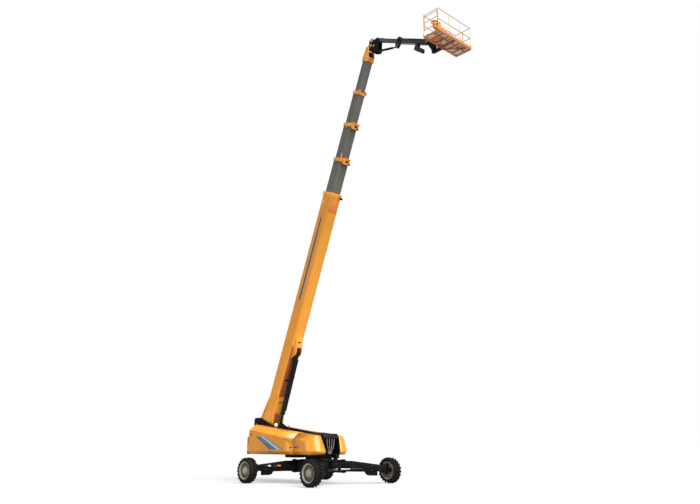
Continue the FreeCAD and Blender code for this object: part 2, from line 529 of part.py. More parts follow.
# ---------------------------------------------------------------- boom
def boom():
    main = tube("base tube", "BaseDepth", "BaseWidth", "BaseWall", "BaseRear", "BaseFront")
    mouth_fill = cut("mouth ring", prism("mouth outside", "yz",
                                         rect("BaseDepth + 44", "BaseWidth + 44", "TubeChamfer"),
                                         "BaseFront - PadLength", "PadLength"),
                     prism("mouth hole", "yz", rect("TwoDepth + 2*PadFit", "TwoWidth + 2*PadFit",
                                                    "TubeChamfer"), "BaseFront - PadLength - 20",
                                                    "PadLength + 40"))
    foot = []
    for start in ("BaseWidth/2 - 30", "-BaseWidth/2"):
        foot.append(prism("foot plate", "xz", [("1750", "-BaseDepth/2"), ("1750", "BaseDepth/2"),
                                               ("560", "585"), ("120", "590"), ("110", "330"),
                                               ("480", "-480"), ("700", "-480"), ("1250", "-BaseDepth/2")],
                                               start, "30"))
    foot.append(cyl("pivot boss", "125", "2*UprightInner - 12",
                    ("PivotAlong", "-UprightInner + 6", "PivotUp"), "y"))
    foot.append(box("foot web", ("30", "BaseWidth - 20", "BaseDepth - 20"),
                    ("BaseRear - 15", "-BaseWidth/2 + 10", "-BaseDepth/2 + 10")))
    ears = []
    for start in ("150", "-190"):
        ears.append(prism("lift bracket", "xz", [("LiftAlong - 420", "-BaseDepth/2 + 10"),
                                                 ("LiftAlong + 800", "-BaseDepth/2 + 10"),
                                                 ("LiftAlong + 800", "-BaseDepth/2 - 40"),
                                                 ("LiftAlong + 130", "-LiftBelow - 110"),
                                                 ("LiftAlong - 110", "-LiftBelow - 110")], start, "40"))
    ears.append(prism("bracket cap", "xz", [("LiftAlong + 250", "-BaseDepth/2 + 10"),
                                            ("LiftAlong + 800", "-BaseDepth/2 + 10"), ("LiftAlong + 800",
                                            "-BaseDepth/2 - 40"), ("LiftAlong + 250", "-LiftBelow - 60")],
                                            "-190", "380"))
    ears.append(cyl("lift pin", "50", "420", ("LiftAlong", "-210", "-LiftBelow"), "y"))
    whole = fuse("base whole", main, mouth_fill, *(foot + ears))
    whole = cut("base bored", whole, cyl("pivot bore", "BoomPinRadius + RunFit", "2*UprightInner",
                                         ("PivotAlong", "-UprightInner", "PivotUp"), "y"))
    node("boom_base", whole, BOOM)

    chain = [("Two", "Base", "BaseWall", "Three"), ("Three", "Two", "TubeWall", "Four"),
             ("Four", "Three", "TubeWall", "Five"), ("Five", "Four", "TubeWall", None)]
    for me, parent, wall, child in chain:
        low = me.lower()
        pieces = [tube(low + " tube", me + "Depth", me + "Width", "TubeWall", me + "Rear", me + "Front",
                       "TubeChamfer")]
        heel = cut(low + " heel", prism("heel outside", "yz",
                                        rect("%sDepth - 2*%s - 2*PadFit" % (parent, wall),
                                             "%sWidth - 2*%s - 2*PadFit" % (parent, wall), "TubeChamfer"),
                                             me + "Rear", "PadLength"),
                   prism("heel hole", "yz", rect(me + "Depth - 60", me + "Width - 60", "TubeChamfer"),
                         me + "Rear - 20", "PadLength + 40"))
        pieces.append(heel)
        if child:
            pieces.append(cut(low + " mouth", prism("mouth outside", "yz",
                                                    rect(me + "Depth - 6", me + "Width - 6", "TubeChamfer"),
                                                    me + "Front - PadLength", "PadLength"),
                              prism("mouth hole", "yz", rect("%sDepth + 2*PadFit" % child,
                                                             "%sWidth + 2*PadFit" % child, "TubeChamfer"),
                                                             me + "Front - PadLength - 20",
                                                             "PadLength + 40")))
        node("boom_section_" + low, fuse(low + " section", *pieces), BOOM)
        if child:
            collar = cut(low + " collar ring", prism("collar outside", "yz",
                                                     rect("%sDepth + 2*CollarWall" % me,
                                                          "%sWidth + 2*CollarWall" % me, "TubeChamfer"),
                                                          me + "Front - 110", "CollarLength"),
                         prism("collar seat", "yz", rect(me + "Depth", me + "Width", "TubeChamfer"),
                               me + "Front - 150", "150"),
                         prism("collar hole", "yz", rect("%sDepth + 12" % child, "%sWidth + 12" % child,
                                                         "TubeChamfer"), me + "Front - 5", "CollarLength"))
            fittings = [collar, cyl("side roller", "48", "70",
                                    (me + "Front - 10", "%sWidth/2 + CollarWall - 10" % me,
                                     "-%sDepth/2 + 60" % me), "y")]
            fittings += collar_fittings(me)
            node("boom_collar_" + low, fuse(low + " collar", *fittings), BOOM)


def collar_fittings(me):
    """What hangs on one collar: a hose guide on the underside of the lower two, a pair of sheaves on the top one."""
    under, side, tip = "-%sDepth/2 - CollarWall" % me, "%sWidth/2 + CollarWall" % me, me + "Front"
    if me == "Four":
        return [cyl("sheave", "62", "46", (tip + " + 75", start, under + " + 8"), "y")
                for start in ("-(%s)" % side, side + " - 46")]
    guide = cut("hose guide", box("guide block", ("320", "GuideWidth", "GuideDepth"),
                                  (tip + " - 200", "-GuideWidth/2", under + " - GuideDepth + 8")),
                box("guide tunnel", ("400", "GuideWidth - 48", "GuideDepth - 48"),
                    (tip + " - 240", "-GuideWidth/2 + 24", under + " - GuideDepth + 32")),
                box("guide window", ("170", "210", "60"), (tip + " - 130", "-105",
                                                           under + " - GuideDepth - 20")))
    # the lever stands off the side so that the next collar passes inside it
    if me == "Two":
        lever = prism("collar lever", "xz", [(tip + " - 20", under + " + 10"),
                                             (tip + " + 40", under + " + 10"), (tip + " + 360",
                                             under + " + 80"),
                                             (tip + " + 350", under + " + 125"), (tip + " - 20",
                                             under + " + 90")], "-(%s)" % side, "22")
    else:
        lever = box("collar peg", ("150", "30", "50"), (tip + " - 210", "-(%s) - 14" % side, "-60"))
        return [guide, lever, box("peg foot", ("60", "30", "50"),
                                  (tip + " - 90", "-(%s) - 14" % side, "-60"))]
    return [guide, lever]


def boom_head():
    ring = cut("head ring", prism("ring outside", "yz",
                                  rect("FiveDepth + 56", "FiveWidth + 56", "TubeChamfer"),
                                  "FiveFront - 230", "230"),
               prism("ring seat", "yz", rect("FiveDepth", "FiveWidth", "TubeChamfer"), "FiveFront - 260",
                     "260"))
    lid = box("head lid", ("16", "FiveWidth + 20", "FiveDepth + 20"),
              ("FiveFront", "-FiveWidth/2 - 10", "-FiveDepth/2 - 10"))
    plates = [prism("head cheek", "xz", [("FiveFront - 210", "-FiveDepth/2 + 40"),
                                         ("FiveFront - 210", "FiveDepth/2 + 20"), ("FiveFront",
                                         "FiveDepth/2 + 24"), ("HeadPinAlong + 60", "HeadPinUp + 90"),
                                         ("HeadPinAlong + 105", "HeadPinUp"), ("HeadPinAlong + 40",
                                         "HeadPinUp - 95"), ("FiveFront + 120", "-FiveDepth/2 + 20"),
                                         ("FiveFront", "-FiveDepth/2 - 10")],
                    start, "26") for start in ("FiveWidth/2 + 2", "-FiveWidth/2 - 28")]
    pin = cyl("head pin", "38", "FiveWidth + 90", ("HeadPinAlong", "-FiveWidth/2 - 45", "HeadPinUp"), "y")
    node("boom_head", fuse("head", ring, lid, pin, *plates), BOOM)
    # the dark knuckle that carries the jib's hinge and the jib cylinder's pin
    hinge = BOOM.inverse().multVec(V(S["JibX"], 0, S["JibZ"]))
    base = BOOM.inverse().multVec(V(S["JibCylX"], 0, S["JibCylZ"]))
    hx, hz, bx, bz = ["%.3f" % n for n in (hinge.x, hinge.z, base.x, base.z)]
    outline = [("HeadPinAlong - 110", "HeadPinUp + 40"), ("HeadPinAlong - 20", "HeadPinUp + 100"),
               ("HeadPinAlong + 113", "HeadPinUp + 67"),
               ("%s - 149" % hx, "%s + 370" % hz), ("%s + 79" % hx, "%s + 85" % hz),
               ("%s + 69" % hx, "%s - 91" % hz), ("%s - 63" % hx, "%s - 112" % hz),
               ("%s + 104" % bx, "%s - 44" % bz), ("%s - 44" % bx, "%s - 104" % bz),
               ("%s - 119" % bx, "%s + 27" % bz),
               ("HeadPinAlong - 230", "HeadPinUp - 390"), ("HeadPinAlong - 120", "HeadPinUp - 110")]
    cheeks = [prism("knuckle cheek", "xz", outline, start, "36") for start in ("124", "-160")]
    hub = cyl("head hub", "105", "2*160", ("HeadPinAlong", "-160", "HeadPinUp"), "y")
    back = prism("knuckle back", "xz", [("HeadPinAlong - 60", "HeadPinUp + 40"),
                                        ("HeadPinAlong + 90", "HeadPinUp + 50"), ("HeadPinAlong + 270",
                                        "HeadPinUp - 150"),
                                        ("%s - 200" % hx, "%s + 230" % hz), ("HeadPinAlong + 130",
                                        "HeadPinUp - 330"), ("HeadPinAlong - 120", "HeadPinUp - 260")],
                                        "-130", "260")
    pins = [cyl("jib pin", "40", "390", (hx, "-195", hz), "y"),
            cyl("jib cylinder pin", "28", "370", (bx, "-185", bz), "y")]
    mount = cut("mount bored", fuse("mount", hub, back, *(cheeks + pins)),
                cyl("head bore", "38 + RunFit", "600", ("HeadPinAlong", "-300", "HeadPinUp"), "y"))
    node("jib_mount", mount, BOOM)
    # hoses loop over the knuckle, each standing square on its top faces
    x, z = S["JibX"], S["JibZ"]
    node("head_hoses", together("head hoses", *[
        hose("head hose", 20, 70, [(x - 586.1, y, z - 98.7), (x - 637, y, z + 42),
                                   (x - 610, y, z + 240 - drop), (x - 390, y, z + 250 - drop),
                                   (x - 280, y, z + 67), (x - 349.86, y, z - 65.7)])
        for y, drop in ((-80, 0), (-25, 40), (30, 15), (85, 60))]))


def lift_cylinder():
    way = LIFT_FOOT - LIFT_TOP
    place = FreeCAD.Placement(LIFT_TOP, FreeCAD.Rotation(V(0, 1, 0), math.degrees(math.atan2(-way.z, way.x))))
    far = "%.3f" % way.Length
    barrel = fuse("lift barrel body", cyl("lift eye", "108", "280", ("0", "-140", "0"), "y"),
                  cyl("lift tube", "LiftBarrelRadius", "LiftBarrelLength - 60", ("60", "0", "0"), "x"),
                  cyl("gland", "LiftBarrelRadius + 4", "120", ("LiftBarrelLength - 120", "0", "0"), "x"),
                  box("port block", ("160", "70", "110"), ("1250", "-35", "-LiftBarrelRadius - 40")),
                  box("valve block", ("220", "90", "120"), ("260", "-45", "-LiftBarrelRadius - 50")))
    barrel = cut("lift barrel", barrel, cyl("lift eye bore", "50 + RunFit", "400", ("0", "-200", "0"), "y"),
                 cyl("lift rod bore", "LiftRodRadius + RunFit", "LiftBarrelLength", ("330", "0", "0"), "x"))
    node("lift_barrel", barrel, place)
    rod = fuse("lift rod", cyl("rod bar", "LiftRodRadius", "(%s) - 2420" % far, ("2340", "0", "0"), "x"),
               cyl("rod eye", "105", "250", (far, "-125", "0"), "y"),
               cyl("rod pin", "50", "262", (far, "-131", "0"), "y"))
    node("lift_rod", rod, place)


# ---------------------------------------------------------------- jib
JIB = frame_at(S["JibX"], S["JibZ"], -S["JibAngle"])
LEVEL = JIB.multVec(V(S["JibLevelAlong"], 0, 0))


def jib():
    beam = tube("jib beam", "JibInnerDepth", "JibInnerWidth", "8", "90", "JibInnerEnd", "12")
    root = cyl("jib root eye", "115", "220", ("0", "-110", "0"), "y")
    heel = box("jib root block", ("170", "150", "170"), ("20", "-75", "-85"))
    lugs = [prism("jib lug", "xz", [("JibLugAlong - 190", "-JibInnerDepth/2 + 8"),
                                    ("JibLugAlong + 150", "-JibInnerDepth/2 + 8"),
                                    ("JibLugAlong + 60", "-JibLugBelow - 60"), ("JibLugAlong - 70",
                                    "-JibLugBelow - 60")],
                  start, "16") for start in ("62", "-78")]
    sleeve_pad = cut("pad ring", prism("pad outside", "yz",
                                       rect("JibOuterDepth - 17", "JibOuterWidth - 17", "12"),
                                       "JibInnerEnd - 160", "160"),
                     prism("pad hole", "yz", rect("JibInnerDepth - 12", "JibInnerWidth - 12", "12"),
                           "JibInnerEnd - 180", "200"))
    inner = cut("jib inner bored", fuse("jib inner body", beam, root, heel, sleeve_pad, *lugs),
                cyl("jib root bore", "40 + RunFit", "400", ("0", "-200", "0"), "y"))
    node("jib_inner", inner, JIB)
    sleeve = tube("jib sleeve", "JibOuterDepth", "JibOuterWidth", "8", "JibSleeveStart", "JibSleeveEnd", "14")
    lip = cut("sleeve lip", prism("lip outside", "yz",
                                  rect("JibOuterDepth + 40", "JibOuterWidth + 40", "14"),
                                  "JibSleeveStart - 10", "130"),
              prism("lip hole", "yz", rect("JibInnerDepth + 1", "JibInnerWidth + 1", "12"),
                    "JibSleeveStart - 30", "170"))
    # the pod hangs from the sleeve and slopes away from it towards the platform
    pod = prism("valve pod", "xz", [("JibSleeveEnd - 612", "-JibOuterDepth/2 + 6"),
                                    ("JibSleeveEnd - 470", "-JibOuterDepth/2 + 6"),
                                    ("JibSleeveEnd - 430", "-JibOuterDepth/2 - 137"),
                                    ("JibSleeveEnd - 50", "-JibOuterDepth/2 - 223"),
                                    ("JibSleeveEnd - 10", "-JibOuterDepth/2 - 428"),
                                    ("JibSleeveEnd - 612", "-JibOuterDepth/2 - 302")], "-105", "210")
    tail = [prism("level cheek", "xz", [("JibSleeveEnd - 50", "-JibOuterDepth/2 + 10"),
                                        ("JibSleeveEnd - 50", "JibOuterDepth/2 - 10"),
                                        ("JibLevelAlong + 60", "90"), ("JibLevelAlong + 90", "0"),
                                        ("JibLevelAlong + 60", "-90")],
                  start, "24") for start in ("91", "-115")]
    end_plate = box("sleeve end plate", ("20", "JibOuterWidth - 8", "JibOuterDepth - 8"),
                    ("JibSleeveEnd - 20", "-JibOuterWidth/2 + 4", "-JibOuterDepth/2 + 4"))
    pin = cyl("level pin", "30", "250", ("JibLevelAlong", "-125", "0"), "y")
    # an open slot lets the jib cylinder's lug pass under the sleeve
    slot = box("lug slot", ("JibLugAlong + 160 - JibSleeveStart + 30", "176", "80"),
               ("JibSleeveStart - 30", "-88", "-JibOuterDepth/2 - 40"))
    tube_and_lip = cut("slotted sleeve", fuse("sleeve with lip", sleeve, lip), slot)
    node("jib_outer", fuse("jib outer", tube_and_lip, pod, end_plate, pin, *tail), JIB)

    start, stop = V(S["JibCylX"], 0, S["JibCylZ"]), JIB.multVec(V(S["JibLugAlong"], 0, -S["JibLugBelow"]))
    way = stop - start
    place = FreeCAD.Placement(start, FreeCAD.Rotation(V(0, 1, 0), math.degrees(math.atan2(-way.z, way.x))))
    far = "%.3f" % way.Length
    barrel = cut("jib barrel", fuse("jib barrel body", cyl("eye", "60", "160", ("0", "-80", "0"), "y"),
                                    cyl("tube", "58", "960", ("30", "0", "0"), "x")),
                 cyl("eye bore", "28 + RunFit", "300", ("0", "-150", "0"), "y"),
                 cyl("rod bore", "36 + RunFit", "1100", ("110", "0", "0"), "x"))
    node("jib_barrel", barrel, place)
    rod = fuse("jib rod", cyl("bar", "36", "(%s) - 360" % far, ("320", "0", "0"), "x"),
               cyl("eye", "50", "96", (far, "-48", "0"), "y"),
               cyl("pin", "26", "108", (far, "-54", "0"), "y"))
    node("jib_rod", rod, place)


# ---------------------------------------------------------------- platform
def platform():
    lx, lz = "%.3f" % LEVEL.x, "%.3f" % LEVEL.z
    eye = cyl("level eye", "95", "170", (lx, "-85", lz), "y")
    neck = prism("level neck", "xz", [(lx + " - 30", lz + " - 90"), (lx + " + 40", lz + " + 85"),
                                      ("RotatorX - 130", "FloorZ + 425"), ("RotatorX", "FloorZ + 425"),
                                      ("RotatorX", "FloorZ - 10"), ("RotatorX - 90", "FloorZ - 10")], "-80",
                                      "160")
    drum = cyl("rotator drum", "135", "430", ("RotatorX", "0", "FloorZ - 5"))
    level = cut("level body", fuse("level parts", eye, neck, drum),
                cyl("level bore", "30 + RunFit", "400", (lx, "-200", lz), "y"),
                cyl("rotator bore", "50 + RunFit", "700", ("RotatorX", "0", "FloorZ - 200")))
    node("level_bracket", level)

    back = "PlatformX - PlatformDepth/2"
    arm = fuse("mount arm", cyl("rotator shaft", "50", "560", ("RotatorX", "0", "FloorZ - 65")),
               cyl("lower flange", "125", "50", ("RotatorX", "0", "FloorZ - 65")),
               cyl("upper flange", "110", "40", ("RotatorX", "0", "FloorZ + 432")),
               box("lower arm", (back + " + 40 - RotatorX", "220", "50"),
                   ("RotatorX", "-110", "FloorZ - 135")),
               cyl("arm hub", "125", "80", ("RotatorX", "0", "FloorZ - 135")),
               box("post", ("90", "220", "700"), (back + " - 90", "-110", "FloorZ - 135")),
               box("upper arm", (back + " - 20 - RotatorX", "160", "40"),
                   ("RotatorX", "-80", "FloorZ + 432")))
    node("platform_mount", arm)

    width, depth = "PlatformWidth", "PlatformDepth"
    deck_z = "FloorZ - TreadPlate - 60"
    bars = [box("long edge", (depth, "60", "60"),
                (back, "%s*(%s/2) - %s" % (s, width, "60" if s == "1" else "0"), deck_z))
                for s in ("1", "-1")]
    bars += [box("side edge", ("60", width, "60"),
                 (back if s == 0 else "PlatformX + PlatformDepth/2 - 60", "-PlatformWidth/2", deck_z))
                 for s in (0, 1)]
    bars += [box("cross bar", (depth + " - 20", "40", "50"),
                 (back + " + 10", "-PlatformWidth/2 + PlatformWidth*%d/6 - 20" % i, deck_z))
                 for i in range(1, 6)]
    bars.append(box("spine", ("60", width + " - 20", "50"),
                    ("PlatformX + 0.11*PlatformDepth - 30", "-PlatformWidth/2 + 10", deck_z)))
    bars.append(box("deck plate", (depth + " - 20", width + " - 20", "6"),
                    (back + " + 10", "-PlatformWidth/2 + 10", "FloorZ - TreadPlate - 6")))
    bars.append(box("tread", (depth + " - 2*TreadInset", width + " - 2*TreadInset", "TreadPlate"),
                    (back + " + TreadInset", "-PlatformWidth/2 + TreadInset", "FloorZ - TreadPlate")))
    toe = [box("toe board", (depth, "4", "100"), (back, "PlatformWidth/2 - 4", "FloorZ - 10")),
           box("toe board", ("4", width, "100"), (back, "-PlatformWidth/2", "FloorZ - 10")),
           box("toe board", ("4", width, "100"), ("PlatformX + PlatformDepth/2 - 4", "-PlatformWidth/2",
                                                  "FloorZ - 10"))]
    node("platform_floor", fuse("floor", *(bars + toe)))

    r = "RailRadius"
    x0, x1 = back + " + 25", "PlatformX + PlatformDepth/2 - 25"
    y0, y1 = "-PlatformWidth/2 + 25", "PlatformWidth/2 - 25"
    span_x, span_y = "PlatformDepth - 50", "PlatformWidth - 50"
    rails = []
    # posts and end rails are a little thinner and the corners thicker, so no two round faces lie on each other
    post_r, end_r, ball_r = r + " - 1", r + " - 0.5", r + " + 1.5"
    post_z, post_tall = "FloorZ - TreadPlate", "RailHeight - RailRadius + TreadPlate"
    for level_z in ("FloorZ + RailHeight - RailRadius", "FloorZ + MidRail"):
        rails += [cyl("long rail", r, span_y, (x0, y0, level_z), "y"),
                  cyl("long rail", r, span_y, (x1, y0, level_z), "y"),
                  cyl("end rail", end_r, span_x, (x0, y1, level_z), "x")]
    for i in range(4):
        y = "-PlatformWidth/2 + 25 + (PlatformWidth - 50)*%d/3" % i
        rails += [cyl("post", post_r, post_tall, (x, y, post_z)) for x in (x0, x1)]
    rails.append(cyl("end post", post_r, post_tall, ("PlatformX", y1, post_z)))
    for x in (x0, x1):
        for y in (y0, y1):
            ball = new("Part::Sphere", "rail corner")
            bind(ball, "Radius", ball_r)
            rails.append(put(ball, (x, y, "FloorZ + RailHeight - RailRadius")))
    gate_x0, gate_x1 = back + " + 62", "PlatformX + PlatformDepth/2 - 72"
    for z in ("FloorZ + 420", "FloorZ + 850"):
        rails.append(cut("gate hinge", fuse("ring and arm", cyl("ring", "28", "40", (gate_x1, y0, z)),
                                            box("ring arm", ("27", "24", "40"), (gate_x1 + " + 20",
                                            y0 + " - 12", z))),
                         cyl("ring bore", "15 + RunFit", "80", (gate_x1, y0, z + " - 20"))))
    node("platform_rails", fuse("rails", *rails))

    gate = [cyl("gate bar", "15", "PlatformDepth - 134", (gate_x0, y0, z), "x")
            for z in ("FloorZ + 330", "FloorZ + 700", "FloorZ + 990", "FloorZ + RailHeight - 22")]
    gate += [cyl("gate post", "15", "RailHeight - 22 - 300", (x, y0, "FloorZ + 300"))
             for x in (gate_x0, gate_x1)]
    node("platform_gate", fuse("gate", *gate))

    console = fuse("console", prism("console case", "xz",
                                    [(back + " + 75", "FloorZ + 700"), (back + " + 230", "FloorZ + 700"),
                                     (back + " + 260", "FloorZ + 980"), (back + " + 75", "FloorZ + 1080")],
                                     "-620", "450"),
                   box("console bracket", ("50", "640", "90"), (back + " + 42", "-720", "FloorZ + 930")))
    node("platform_console", console)
    # the console's cable drops behind the rails to the floor's edge
    x, z, floor = S["PlatformX"] - S["PlatformDepth"] / 2, S["FloorZ"], S["FloorZ"] - S["TreadPlate"] + 0.3
    node("console_cable", hose("console cable", 13, 120,
                               [(x + 160, -480, z + 699.7), (x + 160, -480, z + 540), (x + 90, -800, z + 300),
                                                          (x + 45, -1040, z + 180), (x + 45, -1040, floor)]))


chassis()
for corner, (end, side) in CORNERS.items():
    leg(corner, end, side)
    knuckle(corner, end, side)
    wheel(corner, end, side)
turntable()
hoods()
boom()
boom_head()
lift_cylinder()
jib()
platform()

for thing, frame in nodes.values():
    if frame != FreeCAD.Placement():
        thing.Placement = frame
doc.recompute()

# The row's origin lies under the middle of the whole machine, so every piece moves along X by one amount.
whole = FreeCAD.BoundBox()
for thing, frame in nodes.values():
    whole.add(thing.Shape.optimalBoundingBox(False, False))
SHIFT = -(whole.XMin + whole.XMax) / 2
for name, (thing, frame) in nodes.items():
    own = thing.Placement
    if frame == FreeCAD.Placement():
        holder = thing
        # pieces already placed by expressions are carried inside a compound
        thing = together("carrier", holder)
        thing.Label = name
        holder.Label = name + " body"
        nodes[name] = (thing, frame)
        thing.Placement = FreeCAD.Placement(V(SHIFT, 0, 0), FreeCAD.Rotation())
    else:
        thing.Placement = FreeCAD.Placement(V(SHIFT, 0, 0), FreeCAD.Rotation()).multiply(own)
doc.recompute()

for thing in doc.Objects:
    for word in ("Invalid", "Error"):
        if word in thing.State:
            raise RuntimeError("%s is %s" % (thing.Label, word))
    if hasattr(thing, "Shape") and (thing.Shape.isNull() or not thing.Shape.isValid()):
        raise RuntimeError("%s has no valid shape" % thing.Label)

os.makedirs("parts", exist_ok=True)
for name, (thing, frame) in nodes.items():
    thing.Shape.exportStep("parts/%s.step" % name)
    print("%-24s solids %d volume %.4f m3" % (name, len(thing.Shape.Solids), thing.Shape.Volume / 1e9))
print("nodes", len(nodes), "shift", round(SHIFT, 3), "box",
      [round(n, 1) for n in (whole.XMin, whole.XMax, whole.YMin, whole.YMax, whole.ZMin, whole.ZMax)])
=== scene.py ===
"""Telescopic boom lift: surfaces, dressing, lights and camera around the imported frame."""
import json
import logging
import math
from dataclasses import dataclass
from enum import Enum
from functools import lru_cache

import bmesh
import bpy
from mathutils import Matrix, Vector


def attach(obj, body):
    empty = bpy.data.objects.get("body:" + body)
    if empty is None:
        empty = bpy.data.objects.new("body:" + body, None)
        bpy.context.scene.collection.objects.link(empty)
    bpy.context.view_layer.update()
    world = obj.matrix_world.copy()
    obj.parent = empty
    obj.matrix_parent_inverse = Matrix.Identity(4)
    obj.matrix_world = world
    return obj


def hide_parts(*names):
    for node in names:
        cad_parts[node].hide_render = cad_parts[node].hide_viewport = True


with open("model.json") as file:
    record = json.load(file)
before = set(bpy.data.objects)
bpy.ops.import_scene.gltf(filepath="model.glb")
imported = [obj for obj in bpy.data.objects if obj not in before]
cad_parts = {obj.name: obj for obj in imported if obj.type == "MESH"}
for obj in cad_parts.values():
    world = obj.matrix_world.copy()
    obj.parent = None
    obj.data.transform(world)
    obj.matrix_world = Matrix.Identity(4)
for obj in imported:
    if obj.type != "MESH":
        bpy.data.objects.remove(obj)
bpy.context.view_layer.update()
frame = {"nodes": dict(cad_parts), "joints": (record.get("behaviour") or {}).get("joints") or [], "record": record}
LOG = logging.getLogger("boom_lift")

CORNERS = ("front_left", "front_right", "rear_left", "rear_right")
SIDES = (("left", 1.0), ("right", -1.0))
BOTH = (-1.0, 1.0)
MM = 0.001


# ------------------------------------------------------------------ places
def pivot(joint: str) -> Vector:
    """Point that a joint turns about, in metres."""
    return Vector(next(j for j in frame["joints"] if j["name"] == joint)["pos_m"])


def heading(joint: str) -> Vector:
    """Axis of a joint."""
    return Vector(next(j for j in frame["joints"] if j["name"] == joint)["axis"]).normalized()


def axes(origin: Vector, along: Vector, up: Vector = Vector((0, 0, 1))) -> Matrix:
    """Axes with X along one direction and Z as near as can be to another.

    Args:
        origin: where the axes stand.
        along: direction of X.
        up: direction that Z leans to.

    Returns:
        The matrix that carries local points to the row frame.
    """
    x = along.normalized()
    y = up.cross(x).normalized()
    z = x.cross(y)
    turn = Matrix((x, y, z)).transposed().to_4x4()
    return Matrix.Translation(origin) @ turn


def circle(count: int, radius: float, centre: tuple = (0.0, 0.0)) -> list[tuple]:
    """Points spaced evenly round a circle."""
    turns = [math.tau * i / count for i in range(count)]
    return [(centre[0] + radius * math.cos(a), centre[1] + radius * math.sin(a)) for a in turns]


MACHINE = Matrix.Translation((pivot("slew").x, 0, 0))
BOOM_ALONG = heading("telescope_two")
BOOM_UP = BOOM_ALONG.cross(Vector((0, 1, 0)))
BOOM = axes(pivot("boom_lift") - BOOM_ALONG * 0.248 - BOOM_UP * 0.453, BOOM_ALONG, BOOM_UP)
JIB = axes(pivot("jib_lift"), heading("jib_telescope"))


# ------------------------------------------------------------------ finishes
def linear(code: str) -> tuple[float, float, float, float]:
    """Linear colour of an sRGB hex value."""
    parts = [int(code[i:i + 2], 16) / 255 for i in (0, 2, 4)]
    return (*[p / 12.92 if p <= 0.04045 else ((p + 0.055) / 1.055) ** 2.4 for p in parts], 1.0)


def add_node(tree: bpy.types.NodeTree, kind: str, feeds: dict | None = None, **settings) -> bpy.types.Node:
    """Add a node, with its settings and what its inputs hold.

    Args:
        tree: node tree that takes it.
        kind: type name of the node.
        feeds: socket name or number to a value or to an output socket.
        settings: properties of the node.

    Returns:
        The node.
    """
    node = tree.nodes.new(kind)
    for name, value in settings.items():
        setattr(node, name, value)
    for name, value in (feeds or {}).items():
        if isinstance(value, bpy.types.NodeSocket):
            tree.links.new(value, node.inputs[name])
        else:
            node.inputs[name].default_value = value
    return node


class Graph:
    """Nodes of one material, with short ways to add what the finishes share."""

    def __init__(self, name: str, sockets: dict) -> None:
        """Start a material with its principled shader set.

        Args:
            name: name of the material.
            sockets: shader socket to value.
        """
        self.material = bpy.data.materials.new(name)
        self.material.use_nodes = True
        self.tree = self.material.node_tree
        self.shader = self.tree.nodes["Principled BSDF"]
        for socket, value in sockets.items():
            self.shader.inputs[socket].default_value = value
        self.place = add_node(self.tree, "ShaderNodeTexCoord").outputs["Object"]

    def noise(self, scale: float, detail: float, roughness: float = 0.5) -> bpy.types.NodeSocket:
        """Noise over the piece's own axes."""
        return add_node(self.tree, "ShaderNodeTexNoise",
                        {"Vector": self.place, "Scale": scale, "Detail": detail,
                                                          "Roughness": roughness}).outputs["Fac"]

    def spread(self, value: bpy.types.NodeSocket, source: tuple = (0.0, 1.0),
               result: tuple = (0.0, 1.0)) -> bpy.types.NodeSocket:
        """Carry a level from one range to another."""
        return add_node(self.tree, "ShaderNodeMapRange", {
            "Value": value, "From Min": source[0], "From Max": source[1], "To Min": result[0],
            "To Max": result[1]}).outputs["Result"]

    def blend(self, level: bpy.types.NodeSocket, first: bpy.types.NodeSocket | str,
              second: str) -> bpy.types.NodeSocket:
        """Mix two colours."""
        ground = linear(first) if isinstance(first, str) else first
        return add_node(self.tree, "ShaderNodeMix", {0: level, 6: ground, 7: linear(second)},
                        data_type="RGBA").outputs[2]

    def reckon(self, operation: str, *values: bpy.types.NodeSocket | float) -> bpy.types.NodeSocket:
        """One step of arithmetic."""
        return add_node(self.tree, "ShaderNodeMath", dict(enumerate(values)),
                        operation=operation).outputs["Value"]

    def bump(self, height: bpy.types.NodeSocket, strength: float, distance: float,
             **settings) -> bpy.types.NodeSocket:
        """Relief of the surface."""
        return add_node(self.tree, "ShaderNodeBump", {"Height": height, "Strength": strength,
                                                      "Distance": distance},
                        **settings).outputs["Normal"]

    def wear(self, **looks: bpy.types.NodeSocket) -> bpy.types.Material:
        """Join the looks to the shader."""
        for socket, value in looks.items():
            self.tree.links.new(value, self.shader.inputs[socket.replace("_", " ").title()])
        return self.material


@dataclass(frozen=True)
class Paint:
    """Sprayed two-pack enamel: an even colour under a clear gloss, with faint orange peel and a dusty film, which
    on the wheels is also painted shade.
    """

    name: str
    colour: str
    deep: str
    roughness: float = 0.34
    coat: float = 0.35
    dust_and_shade: str = "8A7C66"
    dust_and_shade_amount: float = 0.12
    peel_mm: float = 18.0  # real orange peel is 2 mm: drawn coarser, or it would not show
    peel_depth: float = 0.05
    mirror: float = 0.5

    def build(self) -> bpy.types.Material:
        """Material of this paint.

        Returns:
            The node material.
        """
        graph = Graph(self.name, {"Coat Weight": self.coat, "Coat Roughness": 0.12, "IOR": 1.5,
                                  "Specular IOR Level": self.mirror})
        patches = graph.spread(graph.noise(1.1, 4.0, 0.55), (0.35, 0.75))
        grime_and_shade = graph.noise(7.0, 9.0, 0.7)
        # dusty film: dust, and on the wheels also painted shade
        film = graph.spread(grime_and_shade, (0.5, 0.8), (0.0, self.dust_and_shade_amount))
        peel = graph.noise(1.0 / (self.peel_mm * MM), 1.0)
        return graph.wear(base_color=graph.blend(film, graph.blend(patches, self.colour, self.deep),
                                                 self.dust_and_shade),
                          roughness=graph.spread(grime_and_shade, result=(self.roughness - 0.05,
                                                                self.roughness + 0.16)),
                          normal=graph.bump(peel, self.peel_depth, 0.002))


